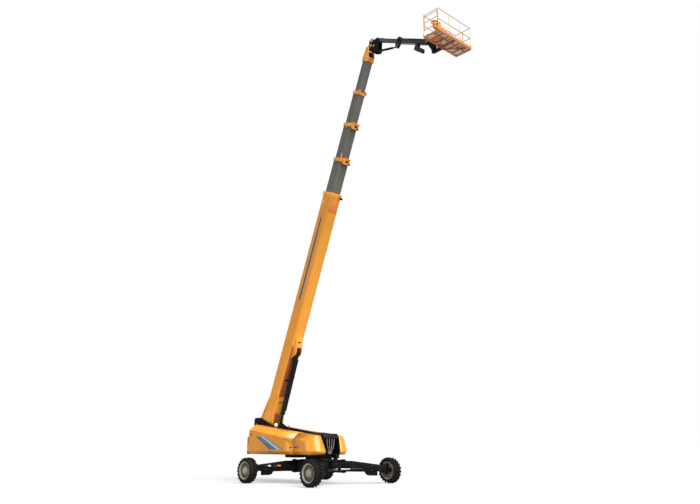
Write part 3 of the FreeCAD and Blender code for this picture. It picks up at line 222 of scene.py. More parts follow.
@dataclass(frozen=True)
class Rubber:
    """Moulded tyre compound: matt brown-black, greyer where earth has dried in it."""

    name: str
    colour: str
    earth: str
    earth_amount: float = 0.45
    grain_mm: float = 9.0  # mould grain is under 1 mm: drawn coarser so that it shows

    def build(self) -> bpy.types.Material:
        """Material of this rubber.

        Returns:
            The node material.
        """
        graph = Graph(self.name, {"IOR": 1.52, "Roughness": 0.8, "Specular IOR Level": 0.25})
        film = graph.spread(graph.noise(9.0, 7.0, 0.65), (0.42, 0.72), (0.0, self.earth_amount))
        grain = graph.noise(1.0 / (self.grain_mm * MM), 2.0)
        return graph.wear(base_color=graph.blend(film, self.colour, self.earth),
                          normal=graph.bump(grain, 0.25, 0.003))


@dataclass(frozen=True)
class Metal:
    """Bare or plated steel: streaked along its length by turning, rolling or wiping."""

    name: str
    colour: str
    streak: str
    roughness: float = 0.25
    streak_mm: float = 25.0

    def build(self) -> bpy.types.Material:
        """Material of this metal.

        Returns:
            The node material.
        """
        graph = Graph(self.name, {"Metallic": 1.0})
        streaks = graph.noise(1.0 / (self.streak_mm * MM), 5.0, 0.6)
        return graph.wear(base_color=graph.blend(streaks, self.colour, self.streak),
                          roughness=graph.spread(streaks, result=(self.roughness * 0.7,
                          self.roughness * 1.5)))


@dataclass(frozen=True)
class Plain:
    """Moulded plastic, film or glass of one colour, with a fine moulded grain."""

    name: str
    colour: str
    roughness: float = 0.45
    grain: float = 0.08
    grain_mm: float = 6.0

    def build(self) -> bpy.types.Material:
        """Material of this plastic.

        Returns:
            The node material.
        """
        graph = Graph(self.name, {"IOR": 1.49})
        grain = graph.noise(1.0 / (self.grain_mm * MM), 3.0)
        body = add_node(graph.tree, "ShaderNodeVectorMath", {
            0: linear(self.colour)[:3], "Scale": graph.spread(grain, result=(0.88, 1.08))}, operation="SCALE")
        return graph.wear(base_color=body.outputs["Vector"],
                          roughness=graph.spread(grain, result=(self.roughness - 0.06, self.roughness + 0.1)),
                          normal=graph.bump(grain, self.grain, 0.001))


@dataclass(frozen=True)
class Expanded:
    """Expanded metal sheet: pale strands round dark diamond openings, in rows."""

    name: str
    strand: str
    opening: str
    pitch_mm: float = 60.0  # real openings are about 30 mm: drawn at 60 so that they show

    def build(self) -> bpy.types.Material:
        """Material of this sheet.

        Returns:
            The node material.
        """
        graph = Graph(self.name, {"Roughness": 0.5})
        parts = add_node(graph.tree, "ShaderNodeSeparateXYZ", {"Vector": graph.place})
        waves = []
        for sign in (1.0, -1.0):
            line = graph.reckon("ADD", parts.outputs["X"],
                                graph.reckon("MULTIPLY", parts.outputs["Y"], sign * 0.5))
            turns = graph.reckon("MULTIPLY", line, math.pi / (self.pitch_mm * MM))
            waves.append(graph.reckon("ABSOLUTE", graph.reckon("SINE", turns)))
        edge = graph.spread(graph.reckon("MINIMUM", *waves), (0.42, 0.55))
        return graph.wear(base_color=graph.blend(edge, self.strand, self.opening),
                          normal=graph.bump(edge, 0.6, 0.004, invert=True))


Finish = Paint | Rubber | Metal | Plain | Expanded


@lru_cache(maxsize=None)
def material_of(finish: Finish) -> bpy.types.Material:
    """The one material of a finish."""
    return finish.build()


# gloss enamel, sprayed over primer: bright yellow, slightly orange in shade
YELLOW = Paint("yellow_gloss_enamel", "F7A629", "F29B21", roughness=0.32, coat=0.4)
# the same enamel on the moulded covers, where the finish is smoother, and a little darker and more orange: painted
# shade for the dark ground that the glossy covers reflect
COVER_YELLOW = Paint("yellow_cover_enamel", "F6A01A", "EF9614", roughness=0.26, coat=0.7, peel_depth=0.03,
                     dust_and_shade_amount=0.06)
# a deeper orange: painted shade on the plate under the boom's mouth and on the band under the head; also one plate
# under the platform
ORANGE = Paint("orange_enamel", "E8862A", "D9741F", roughness=0.36, coat=0.35)
# red-brown enamel: painted shade on the sheet under the boom behind its foot, and the colour of the platform's
# braces
RED_BROWN = Paint("red_brown_enamel", "B4602C", "9C4E22", roughness=0.42, coat=0.15, dust_and_shade_amount=0.1)
# the platform's floor frame, between orange and brown
FLOOR_BROWN = Paint("brown_orange_enamel", "CE8440", "BE7434", roughness=0.4, coat=0.2, dust_and_shade_amount=0.1)
# one rail enamel in two tones: a duller orange on the horizontal rails is painted shade, a cream yellow on the
# upright posts is painted light
SHADED_RAIL = Paint("rail_enamel_painted_shade", "D89A58", "C98A48", roughness=0.38, coat=0.25)
LIT_POST = Paint("rail_enamel_painted_light", "FFDC8C", "FBD078", roughness=0.38, coat=0.25, dust_and_shade_amount=0.05)
# telescopic sections: satin dark grey, wiped thin with grease
SECTION_GREY = Paint("grey_satin_enamel", "605D58", "54514C", roughness=0.45, coat=0.08, dust_and_shade_amount=0.06)
# jib beams: blue-grey satin on the inner one, near-black grey on the sleeve
JIB_GREY = Paint("slate_satin_enamel", "474D51", "3E4448", roughness=0.45, coat=0.05, dust_and_shade_amount=0.04,
                 mirror=0.35)
SLEEVE_GREY = Paint("umber_satin_enamel", "272627", "201F20", roughness=0.45, coat=0.05, dust_and_shade_amount=0.04,
                    mirror=0.35)
# chassis, legs and turntable plates: satin black with a little dry dust
BLACK = Paint("black_satin_enamel", "0C0C0B", "090908", roughness=0.55, coat=0.0, dust_and_shade="3A342C",
              dust_and_shade_amount=0.05, mirror=0.15)
# black gloss of cylinder tubes
CYLINDER_BLACK = Paint("black_gloss_enamel", "120F0D", "0C0A09", roughness=0.4, coat=0.0, dust_and_shade="4A4036",
                       dust_and_shade_amount=0.05,
                       mirror=0.25)
# dark cast iron under a thin black coat
CAST = Paint("black_cast_iron", "12110F", "0D0C0B", roughness=0.65, coat=0.0, peel_mm=30.0, peel_depth=0.3,
             dust_and_shade="3A342C", dust_and_shade_amount=0.1, mirror=0.2)
TYRE = Rubber("tyre_rubber", "14110E", "2C251D", earth_amount=0.35)
HOSE = Rubber("hose_rubber", "141312", "2A2725", earth_amount=0.15)
HOSE_SLEEVE = Rubber("hose_sleeve_grey", "8B8780", "A39E96", earth_amount=0.3)
# silver wheel enamel under a heavy dusty film, which is dust and also painted shade for the dish
RIM_SILVER = Paint("silver_wheel_enamel", "B8B0A4", "A39A8C", roughness=0.45, coat=0.1, dust_and_shade="6E6353",
                   dust_and_shade_amount=0.4)
# painted shade: the dish behind the rim's lip, dark under a heavy dusty film
DISH_SHADE = Paint("wheel_dish_painted_shade", "5A5349", "4A443B", roughness=0.6, coat=0.0, dust_and_shade="3E362C",
                  dust_and_shade_amount=0.5)
# leg cylinder rods: ground chrome with faint wiping marks
ROD_CHROME = Metal("ground_chrome", "D8D6D1", "B9B7B1", roughness=0.3, streak_mm=40.0)
# lift and jib cylinder rods: dark steel, near mirror, faint wiping marks
DARK_ROD = Metal("dark_rod_steel", "4A4641", "3A3733", roughness=0.22, streak_mm=60.0)
# zinc-plated bolts, pins and fittings
ZINC = Metal("zinc_plate", "B9B8B2", "8F8D86", roughness=0.36)
BLACK_PLASTIC = Plain("black_moulded_plastic", "111111", roughness=0.55)
RED_LENS = Plain("red_polycarbonate_lens", "B5301A", roughness=0.18, grain=0.02)
AMBER_LENS = Plain("amber_polycarbonate_lens", "D9641A", roughness=0.18, grain=0.02)
CLEAR_LENS = Plain("white_lamp_lens", "F2F1EC", roughness=0.15, grain=0.02)
WHITE_FILM = Plain("white_vinyl_film", "EFEEEA", roughness=0.35, grain=0.02)
BLUE_FILM = Plain("blue_vinyl_film", "1E8FC6", roughness=0.32, grain=0.02)
SKY_FILM = Plain("sky_vinyl_film", "7CC8E8", roughness=0.32, grain=0.02)
NAVY_FILM = Plain("navy_vinyl_film", "1D2C4C", roughness=0.35, grain=0.02)
ORANGE_FILM = Plain("orange_vinyl_film", "EE9A2D", roughness=0.35, grain=0.02)
BEIGE_PLASTIC = Plain("beige_moulded_plastic", "CDB08A", roughness=0.5)
SEAM_BLACK = Plain("black_seam_rubber", "15120E", roughness=0.75)
MESH_FLOOR = Expanded("pale_expanded_metal", "F6EEE8", "C9B0A4")


# ------------------------------------------------------------------ mesh making
class Plane(Enum):
    """Plane that an outline is drawn in."""

    XZ = "xz"
    YZ = "yz"


SMOOTH_BELOW = math.radians(38)
COVER_SMOOTH_BELOW = 0.28
WELD = 1e-5


def weigh_normals(mesh: bpy.types.Mesh, limit: float) -> None:
    """Shade each corner by the larger faces round it, so that wide panels stay flat beside rounded edges.

    Args:
        mesh: mesh to shade.
        limit: angle in radians beyond which a neighbour counts for nothing.
    """
    around = {}
    for face in mesh.polygons:
        for vertex in face.vertices:
            around.setdefault(vertex, []).append(face)
    normals = []
    for face in mesh.polygons:
        for loop in face.loop_indices:
            near = [f for f in around[mesh.loops[loop].vertex_index] if f.normal.angle(face.normal,
                0.0) < limit]
            normals.append(sum((f.normal * f.area for f in near), Vector()).normalized())
    mesh.normals_split_custom_set(normals)


class Form:
    """One piece under construction, drawn in a place's own axes."""

    def __init__(self, place: Matrix = MACHINE) -> None:
        """Start an empty piece."""
        self.bm = bmesh.new()
        self.place = place.copy()

    def round_edges(self, verts: list, width: float, segments: int = 2, sharp: float = 0.5) -> None:
        """Round the sharp edges between some vertices.

        Args:
            verts: vertices of the part to treat.
            width: width of the rounding, nothing when zero.
            segments: steps in it.
            sharp: least angle of an edge that is rounded, in radians.
        """
        if width <= 0:
            return
        ring = {e for v in verts if v.is_valid for e in v.link_edges}
        edges = [e for e in ring if len(e.link_faces) == 2 and e.calc_face_angle(0.0) > sharp]
        if edges:
            self.bevel(edges, width, segments)

    def bevel(self, edges: list, width: float, segments: int) -> None:
        """Round some edges."""
        bmesh.ops.bevel(self.bm, geom=edges, offset=width, offset_type="OFFSET", segments=segments,
                        profile=0.5,
                        affect="EDGES", material=-1, clamp_overlap=True)

    def cut(self, at: tuple, way: tuple, **clear: bool) -> list:
        """Cut every face along a plane."""
        whole = self.bm.verts[:] + self.bm.edges[:] + self.bm.faces[:]
        return bmesh.ops.bisect_plane(self.bm, geom=whole, plane_co=at, plane_no=way, **clear)["geom_cut"]

    def block(self, size: tuple, centre: tuple, edge: float = 0.004, turn: Matrix | None = None) -> "Form":
        """Add a block with rounded edges.

        Args:
            size: lengths along X, Y and Z.
            centre: its middle.
            edge: width of the rounding.
            turn: rotation about its middle.

        Returns:
            The form itself.
        """
        at = Matrix.Translation(centre) @ (turn or Matrix.Identity(4)) @ Matrix.Diagonal((*size, 1))
        made = bmesh.ops.create_cube(self.bm, size=1.0, matrix=at)
        self.round_edges(made["verts"], min(edge, 0.3 * min(size)))
        return self

    def rod(self, start: tuple, end: tuple, radius: float, tip: float | None = None, sides: int = 20,
            edge: float = 0.0) -> "Form":
        """Add a round bar or cone between two points.

        Args:
            start: middle of its first end.
            end: middle of its last end.
            radius: radius at the first end.
            tip: radius at the last end, the same when left out.
            sides: flats round it.
            edge: width of the rounding at its ends.

        Returns:
            The form itself.
        """
        a, b = Vector(start), Vector(end)
        way = b - a
        at = Matrix.Translation((a + b) / 2) @ way.to_track_quat("Z", "Y").to_matrix().to_4x4()
        made = bmesh.ops.create_cone(self.bm, cap_ends=True, segments=sides, radius1=radius,
                                     radius2=radius if tip is None else tip, depth=way.length, matrix=at)
        self.round_edges(made["verts"], edge, sharp=0.9)
        return self

    def lathe(self, profile: list[tuple], centre: tuple, axis: tuple, sides: int = 48) -> "Form":
        """Add a profile spun right round an axis.

        Args:
            profile: (radius, station) corners, closed by the axis or by its own last corner.
            centre: point on the axis at station nought.
            axis: direction of the axis.
            sides: steps in the turn.

        Returns:
            The form itself.
        """
        at = Matrix.Translation(centre) @ Vector(axis).to_track_quat("Z", "Y").to_matrix().to_4x4()
        chain = [self.bm.verts.new(at @ Vector((r, 0, s))) for r, s in profile]
        edges = [self.bm.edges.new(pair) for pair in zip(chain, chain[1:])]
        bmesh.ops.spin(self.bm, geom=chain + edges, cent=at @ Vector(), axis=Vector(axis).normalized(),
                       angle=math.tau, steps=sides, use_merge=True, use_duplicate=False)
        bmesh.ops.remove_doubles(self.bm, verts=self.bm.verts, dist=WELD)
        return self

    def slab(self, outline: list[tuple], low: float, high: float, edge: float = 0.003,
             plane: Plane = Plane.XZ) -> "Form":
        """Add an outline pulled from one level to another.

        Args:
            outline: corners in the plane, in turn.
            low: one of its levels.
            high: its other level.
            edge: width of the rounding.
            plane: plane of the outline.

        Returns:
            The form itself.
        """
        low, high = sorted((low, high))
        across = plane is Plane.YZ
        points = [(low, a, b) if across else (a, low, b) for a, b in outline]
        step = Vector((1, 0, 0) if across else (0, 1, 0))
        face = self.bm.faces.new([self.bm.verts.new(p) for p in points])
        pulled = bmesh.ops.extrude_face_region(self.bm, geom=[face], use_keep_orig=True)
        verts = [g for g in pulled["geom"] if isinstance(g, bmesh.types.BMVert)]
        bmesh.ops.translate(self.bm, vec=step * (high - low), verts=verts)
        self.round_edges(verts + list(face.verts), edge)
        return self

    def bar(self, points: list[tuple], radius: float, sides: int = 10) -> "Form":
        """Add round bars from point to point with a ball at each bend.

        Args:
            points: ends and bends in turn.
            radius: radius of the bar.
            sides: flats round it.

        Returns:
            The form itself.
        """
        for a, b in zip(points, points[1:]):
            self.rod(a, b, radius, sides=sides)
        for point in points[1:-1]:
            bmesh.ops.create_icosphere(self.bm, subdivisions=2, radius=radius * 1.02,
                                       matrix=Matrix.Translation(point))
        return self

    def bolts(self, spots: list[tuple], axis: tuple, radius: float = 0.014, height: float = 0.014) -> "Form":
        """Add hexagon bolt heads on washers.

        Args:
            spots: places on the surface.
            axis: way that the heads point.
            radius: across the corners, halved.
            height: height of a head.

        Returns:
            The form itself.
        """
        way = Vector(axis).normalized()
        for spot in spots:
            foot = Vector(spot)
            self.rod(foot - way * 0.002, foot + way * 0.003, radius * 1.35, sides=16)
            self.rod(foot + way * 0.003, foot + way * (0.003 + height), radius, tip=radius * 0.92, sides=6)
        return self

    def finish(self, name: str, finish: Finish, body: str, slot: str | None = None, stands_for: tuple = (),
               recalculate: bool = True, smooth_below: float = SMOOTH_BELOW) -> bpy.types.Object:
        """Close the piece: put it in the row frame, dress it and let it ride.

        Args:
            name: name of the piece.
            finish: its finish.
            body: body that it moves with.
            slot: the record's slot for its finish; not used.
            stands_for: nodes that it is shown instead of.
            recalculate: turn all faces outwards first.
            smooth_below: angle in radians under which two faces shade as one.

        Returns:
            The object.
        """
        bm = self.bm
        bmesh.ops.transform(bm, matrix=self.place, verts=bm.verts)
        if recalculate:
            bmesh.ops.recalc_face_normals(bm, faces=bm.faces)
        mesh = bpy.data.meshes.new(name)
        bm.to_mesh(mesh)
        bm.free()
        mesh.shade_smooth()
        mesh.set_sharp_from_angle(angle=smooth_below)
        if smooth_below < SMOOTH_BELOW:
            weigh_normals(mesh, smooth_below)
        mesh.materials.append(material_of(finish))
        piece = bpy.data.objects.new(name, mesh)
        bpy.context.scene.collection.objects.link(piece)
        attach(piece, body)
        if stands_for:
            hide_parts(*stands_for)
        LOG.info("%s rides on %s", name, body)
        return piece


def body_of(node: str) -> str:
    """Body that a node belongs to."""
    return next(body for body, nodes in frame["record"]["behaviour"]["bodies"].items() if node in nodes)


def slot_of(node: str) -> str:
    """Slot that the record gives a node."""
    return next(s["material_slot"] for s in frame["record"]["subparts"] if s["node"] == node)


def carry(node: str, finish: Finish, edge: float = 0.004) -> bpy.types.Object:
    """Show a node through a merged copy of its mesh with rounded edges.

    Args:
        node: the node.
        finish: finish of the copy.
        edge: width of the rounding.

    Returns:
        The copy.
    """
    form = Form(Matrix.Identity(4))
    form.bm.from_mesh(frame["nodes"][node].data)
    bmesh.ops.remove_doubles(form.bm, verts=form.bm.verts, dist=WELD)
    bmesh.ops.dissolve_limit(form.bm, angle_limit=math.radians(1.0), use_dissolve_boundaries=False,
                             verts=form.bm.verts, edges=form.bm.edges)
    form.round_edges(form.bm.verts[:], edge, segments=2, sharp=math.radians(40))
    return form.finish(node + "_skin", finish, body_of(node), slot_of(node), (node,), recalculate=False)


def dress(node: str, finish: Finish) -> None:
    """Give a node that stays as it is its finish.

    Args:
        node: the node.
        finish: its finish.
    """
    mesh = frame["nodes"][node].data
    mesh.materials.clear()
    mesh.materials.append(material_of(finish))


# ------------------------------------------------------------------ wheels and legs
def hub_axes(corner: str) -> Matrix:
    """Axes at a wheel's hub with X outwards."""
    return axes(pivot("wheel_" + corner), Vector((0, 1.0 if "left" in corner else -1.0, 0)))


@dataclass
class Wheel:
    """A drive wheel: chevron tyre on a dished silver rim with a planetary hub."""

    corner: str
    radius: float = 0.5998
    half: float = 0.2225
    rim: float = 0.41
    lugs: int = 20
    sweep: float = 0.15
    lug_height: float = 0.07
    shoulder: float = 0.15
    nuts: int = 12

    def crown(self, across: float) -> float:
        """Radius of the tread's top at a distance from the middle."""
        edge = max(0.0, abs(across) - self.shoulder)
        return self.radius - 0.3 * edge - 2.4 * edge * edge

    def lug(self, form: Form, turn: float, hand: float) -> None:
        """Add one tread lug, bent round the tyre.

        Args:
            form: tyre that takes it.
            turn: angle where it starts.
            hand: side of the tyre, 1 or -1.
        """
        away = 10.0  # drawn clear of the tyre, then bent onto it
        made = bmesh.ops.create_cube(form.bm, size=1.0, matrix=Matrix.Translation((away + 0.5, 0.0, 0.5)))
        long = {e for v in made["verts"]
                for e in v.link_edges if abs((e.verts[0].co - e.verts[1].co).x) > 0.5}
        bmesh.ops.subdivide_edges(form.bm, edges=list(long), cuts=5, use_grid_fill=True)
        for vert in [v for v in form.bm.verts if v.co.x > away / 2]:
            t, w, d = max(0.0, vert.co.x - away), vert.co.y, vert.co.z
            across = hand * (0.008 + t * (self.half - 0.014))
            width = (0.050 + 0.018 * t) * (1.0 - 0.28 * d)
            low = self.radius - self.lug_height - 0.02 * max(0.0, t - 0.7)
            reach = low + (self.crown(across) - low) * d
            angle = turn + (self.sweep * t ** 0.85 + w * width) / self.radius
            vert.co = (across, reach * math.sin(angle), reach * math.cos(angle))

    def build(self) -> None:
        """Build the tyre and the rim."""
        r, h = self.radius, self.half
        place, body = hub_axes(self.corner), "wheel_" + self.corner
        side = [(self.rim + 0.002, h - 0.06), (self.rim + 0.014, h - 0.03), (self.rim + 0.03, h - 0.016),
                (0.462, h - 0.012),
                (0.468, h - 0.005), (0.5, h - 0.001), (0.518, h - 0.008), (r - 0.068, h - 0.026),
                (r - 0.058, h - 0.055),
                (r - 0.054, h - 0.11)]
        tyre = Form(place)
        tyre.lathe(side + [(a, -b) for a, b in reversed(side)] + side[:1], (0, 0, 0), (1, 0, 0), sides=64)
        for i in range(self.lugs):
            self.lug(tyre, math.tau * i / self.lugs, 1.0)
            self.lug(tyre, math.tau * (i + 0.5) / self.lugs, -1.0)
        tyre.finish("tread_" + self.corner, TYRE, body, "tyre_rubber", ("tyre_" + self.corner,))

        rim = Form(place)
        dish = [(0.0803, 0.06), (0.17, 0.06), (0.2, 0.02), (0.35, 0.05), (0.362, -0.16), (0.385, -0.17),
                (0.405, -0.178),
                (self.rim + 0.002, -0.192), (self.rim + 0.002, -0.165), (0.398, -0.15), (0.38, -0.14),
                (0.38, 0.14),
                (0.398, 0.15), (self.rim + 0.002, 0.165), (self.rim + 0.004, 0.196), (0.4, 0.2),
                (0.385, 0.182),
                (0.372, 0.176), (0.362, 0.16), (0.352, 0.13), (0.33, 0.1), (0.29, 0.078), (0.235, 0.072),
                (0.212, 0.078),
                (0.2, 0.085), (0.19, 0.118), (0.172, 0.122), (0.166, 0.16), (0.15, 0.19), (0.13, 0.198),
                (0.06, 0.2),
                (0.052, 0.209), (0.0, 0.21), (0.0, 0.096), (0.0803, 0.096), (0.0803, 0.06)]
        rim.lathe(dish, (0, 0, 0), (1, 0, 0), sides=56)
        rim.finish("dish_" + self.corner, RIM_SILVER, body, "rim_silver", ("rim_" + self.corner,))

        # painted shade: a dark skin laid over the dish behind the rim's lip
        face = Form(place)
        skin = [(0.35, 0.133), (0.329, 0.102), (0.29, 0.08), (0.235, 0.074), (0.213, 0.08), (0.203, 0.086)]
        face.lathe(skin + [(a, b - 0.006) for a, b in reversed(skin)] + skin[:1], (0, 0, 0), (1, 0, 0),
                   sides=56)
        face.finish("dish_shade_" + self.corner, DISH_SHADE, body)

        nuts = Form(place)
        nuts.bolts([(0.072, *p) for p in circle(self.nuts, 0.262)], (1, 0, 0), 0.017, 0.022)
        nuts.bolts([(0.199, *p) for p in circle(self.nuts // 2, 0.105)], (1, 0, 0), 0.009, 0.008)
        nuts.rod((0.15, 0.0, 0.372), (0.2, 0.0, 0.36), 0.006)
        nuts.finish("nuts_" + self.corner, ZINC, body)


@dataclass
class Leg:
    """A swing-out leg with its cylinder and steering knuckle."""

    corner: str
    tip_top: float = 0.87
    root_top: float = 1.044
    half_width: float = 0.145

    @property
    def place(self) -> Matrix:
        """Axes on the ground under the root pin with X along the leg."""
        root, tip = pivot("leg_swing_" + self.corner), pivot("steer_" + self.corner)
        root.z = tip.z = 0.0
        return axes(root, tip - root)

    @property
    def length(self) -> float:
        """Distance from root pin to kingpin."""
        return (pivot("leg_swing_" + self.corner).xy - pivot("steer_" + self.corner).xy).length

    def build(self) -> None:
        """Build the leg's skins and their dressing."""
        body, long = "leg_" + self.corner, self.length
        carry("leg_" + self.corner, BLACK, 0.006)
        carry("knuckle_" + self.corner, CAST, 0.007)
        carry("leg_barrel_" + self.corner, CYLINDER_BLACK, 0.003)
        carry("leg_rod_" + self.corner, ROD_CHROME, 0.002)
        trim = Form(self.place)
        for side in BOTH:
            face = side * (self.half_width + 0.004)
            trim.slab([(0.3, 0.62), (0.3, 0.98), (0.52, 0.95), (0.62, 0.66)], face - 0.005, face + 0.005)
            trim.slab([(long - 0.62, 0.6), (long - 0.62, 0.88), (long - 0.2, 0.84), (long - 0.2, 0.6)],
                      face - 0.004, face + 0.004)
            trim.block((long - 0.9, 0.012, 0.03), (long / 2 - 0.05, face, 0.575))
        trim.rod((0, 0, self.root_top + 0.055), (0, 0, self.root_top + 0.075), 0.085, edge=0.004)
        trim.block((0.3, 0.12, 0.02), (long - 0.62, 0, self.tip_top + 0.03),
                   turn=Matrix.Rotation(0.1, 4, "Y"))
        trim.slab([(long - 0.95, 0.555), (long - 0.85, 0.40), (long - 0.42, 0.362), (long - 0.33, 0.40),
                   (long - 0.33, 0.555)],
                  -0.12, 0.12, edge=0.01)
        trim.finish("leg_trim_" + self.corner, BLACK, body)
        bolts = Form(self.place)
        bolts.bolts([(*p, self.root_top + 0.075) for p in circle(6, 0.06)], (0, 0, 1), 0.011, 0.009)
        for side in BOTH:
            spots = [(long - 0.58 + 0.34 * i, side * (self.half_width + 0.008), 0.64 + 0.18 * k)
                     for i in (0, 1) for k in (0, 1)]
            bolts.bolts(spots, (0, side, 0), 0.011, 0.008)
        bolts.finish("leg_bolts_" + self.corner, ZINC, body)
        self.hub_bolts()
        if self.corner == "rear_right":
            self.marks(body)

    def hub_bolts(self) -> None:
        """Bolts round the drive case behind the wheel."""
        form = Form(hub_axes(self.corner))
        form.lathe([(0.0, -0.232), (0.12, -0.23), (0.135, -0.222), (0.14, -0.14), (0.115, -0.132),
                    (0.11, -0.02), (0.0, -0.02)],
                   (0, 0, 0), (1, 0, 0), sides=32)
        form.bolts([(-0.14, *p) for p in circle(10, 0.128)], (1, 0, 0), 0.01, 0.01)
        form.finish("drive_case_" + self.corner, CAST, "knuckle_" + self.corner)

    def marks(self, body: str) -> None:
        """Plain marks on the leg's outer face.

        Args:
            body: body that they ride on.
        """
        low, high = self.half_width + 0.001, self.half_width + 0.003
        plate = Form(self.place).slab([(1.16, 0.775), (1.30, 0.775), (1.30, 0.84), (1.16, 0.84)], low, high,
                                      0)
        plate.finish("leg_plate", WHITE_FILM, body)
        Form(self.place).slab(circle(24, 0.055, (0.97, 0.81)), low, high, 0).finish("leg_round_mark",
            NAVY_FILM, body)
        arrow = [(0.86, 0.79), (0.74, 0.79), (0.74, 0.755), (0.655, 0.815), (0.74, 0.875), (0.74, 0.84),
                 (0.86, 0.84)]
        Form(self.place).slab(arrow, low, high, 0).finish("leg_arrow", ORANGE_FILM, body)


@dataclass
class Chassis:
    """The centre box with its pedestal, noses and tie-down eyes."""

    half: float = 1.0
    half_width: float = 0.55
    top: float = 1.05

    def build(self) -> None:
        """Build the chassis skin and its dressing."""
        carry("chassis_frame", BLACK, 0.006)
        trim = Form()
        for side in BOTH:
            face = side * (self.half_width + 0.006)
            for x in (-0.45, 0.45):
                trim.slab([(x - 0.3, 0.62), (x + 0.3, 0.62), (x + 0.3, 0.92), (x - 0.3, 0.92)],
                          face - 0.008, face + 0.008)
            trim.block((1.9, 0.02, 0.04), (0, face, 0.56))
        for end in (-1.0, 1.0):
            trim.block((0.05, 0.36, 0.2), (end * 1.362, 0, 0.86))
            trim.block((0.24, 0.14, 0.08), (end * 0.86, 0.3, self.top + 0.05))
            trim.block((0.2, 0.2, 0.06), (end * 0.84, -0.3, self.top + 0.04))
        trim.finish("chassis_trim", BLACK, "chassis")
        bolts = Form()
        for side in BOTH:
            for x in (-0.45, 0.45):
                spots = [(x + dx, side * (self.half_width + 0.014), z) for dx in (-0.27, 0.27)
                         for z in (0.65, 0.89)]
                bolts.bolts(spots, (0, side, 0), 0.012, 0.009)
        for end in (-1.0, 1.0):
            bolts.bolts([(end * 1.387, y, z) for y in (-0.14, 0.14) for z in (0.8, 0.92)], (end, 0, 0),
                        0.011, 0.009)
        bolts.finish("chassis_bolts", ZINC, "chassis")
        pumps = Form()
        pumps.rod((1.02, -0.3, 1.06), (1.02, 0.3, 1.06), 0.05, edge=0.005)
        pumps.rod((1.02, -0.38, 1.06), (1.02, -0.3, 1.06), 0.035)
        pumps.block((0.1, 0.16, 0.13), (1.12, 0.1, 1.07), edge=0.01)
        pumps.finish("swivel_valves", CAST, "chassis")


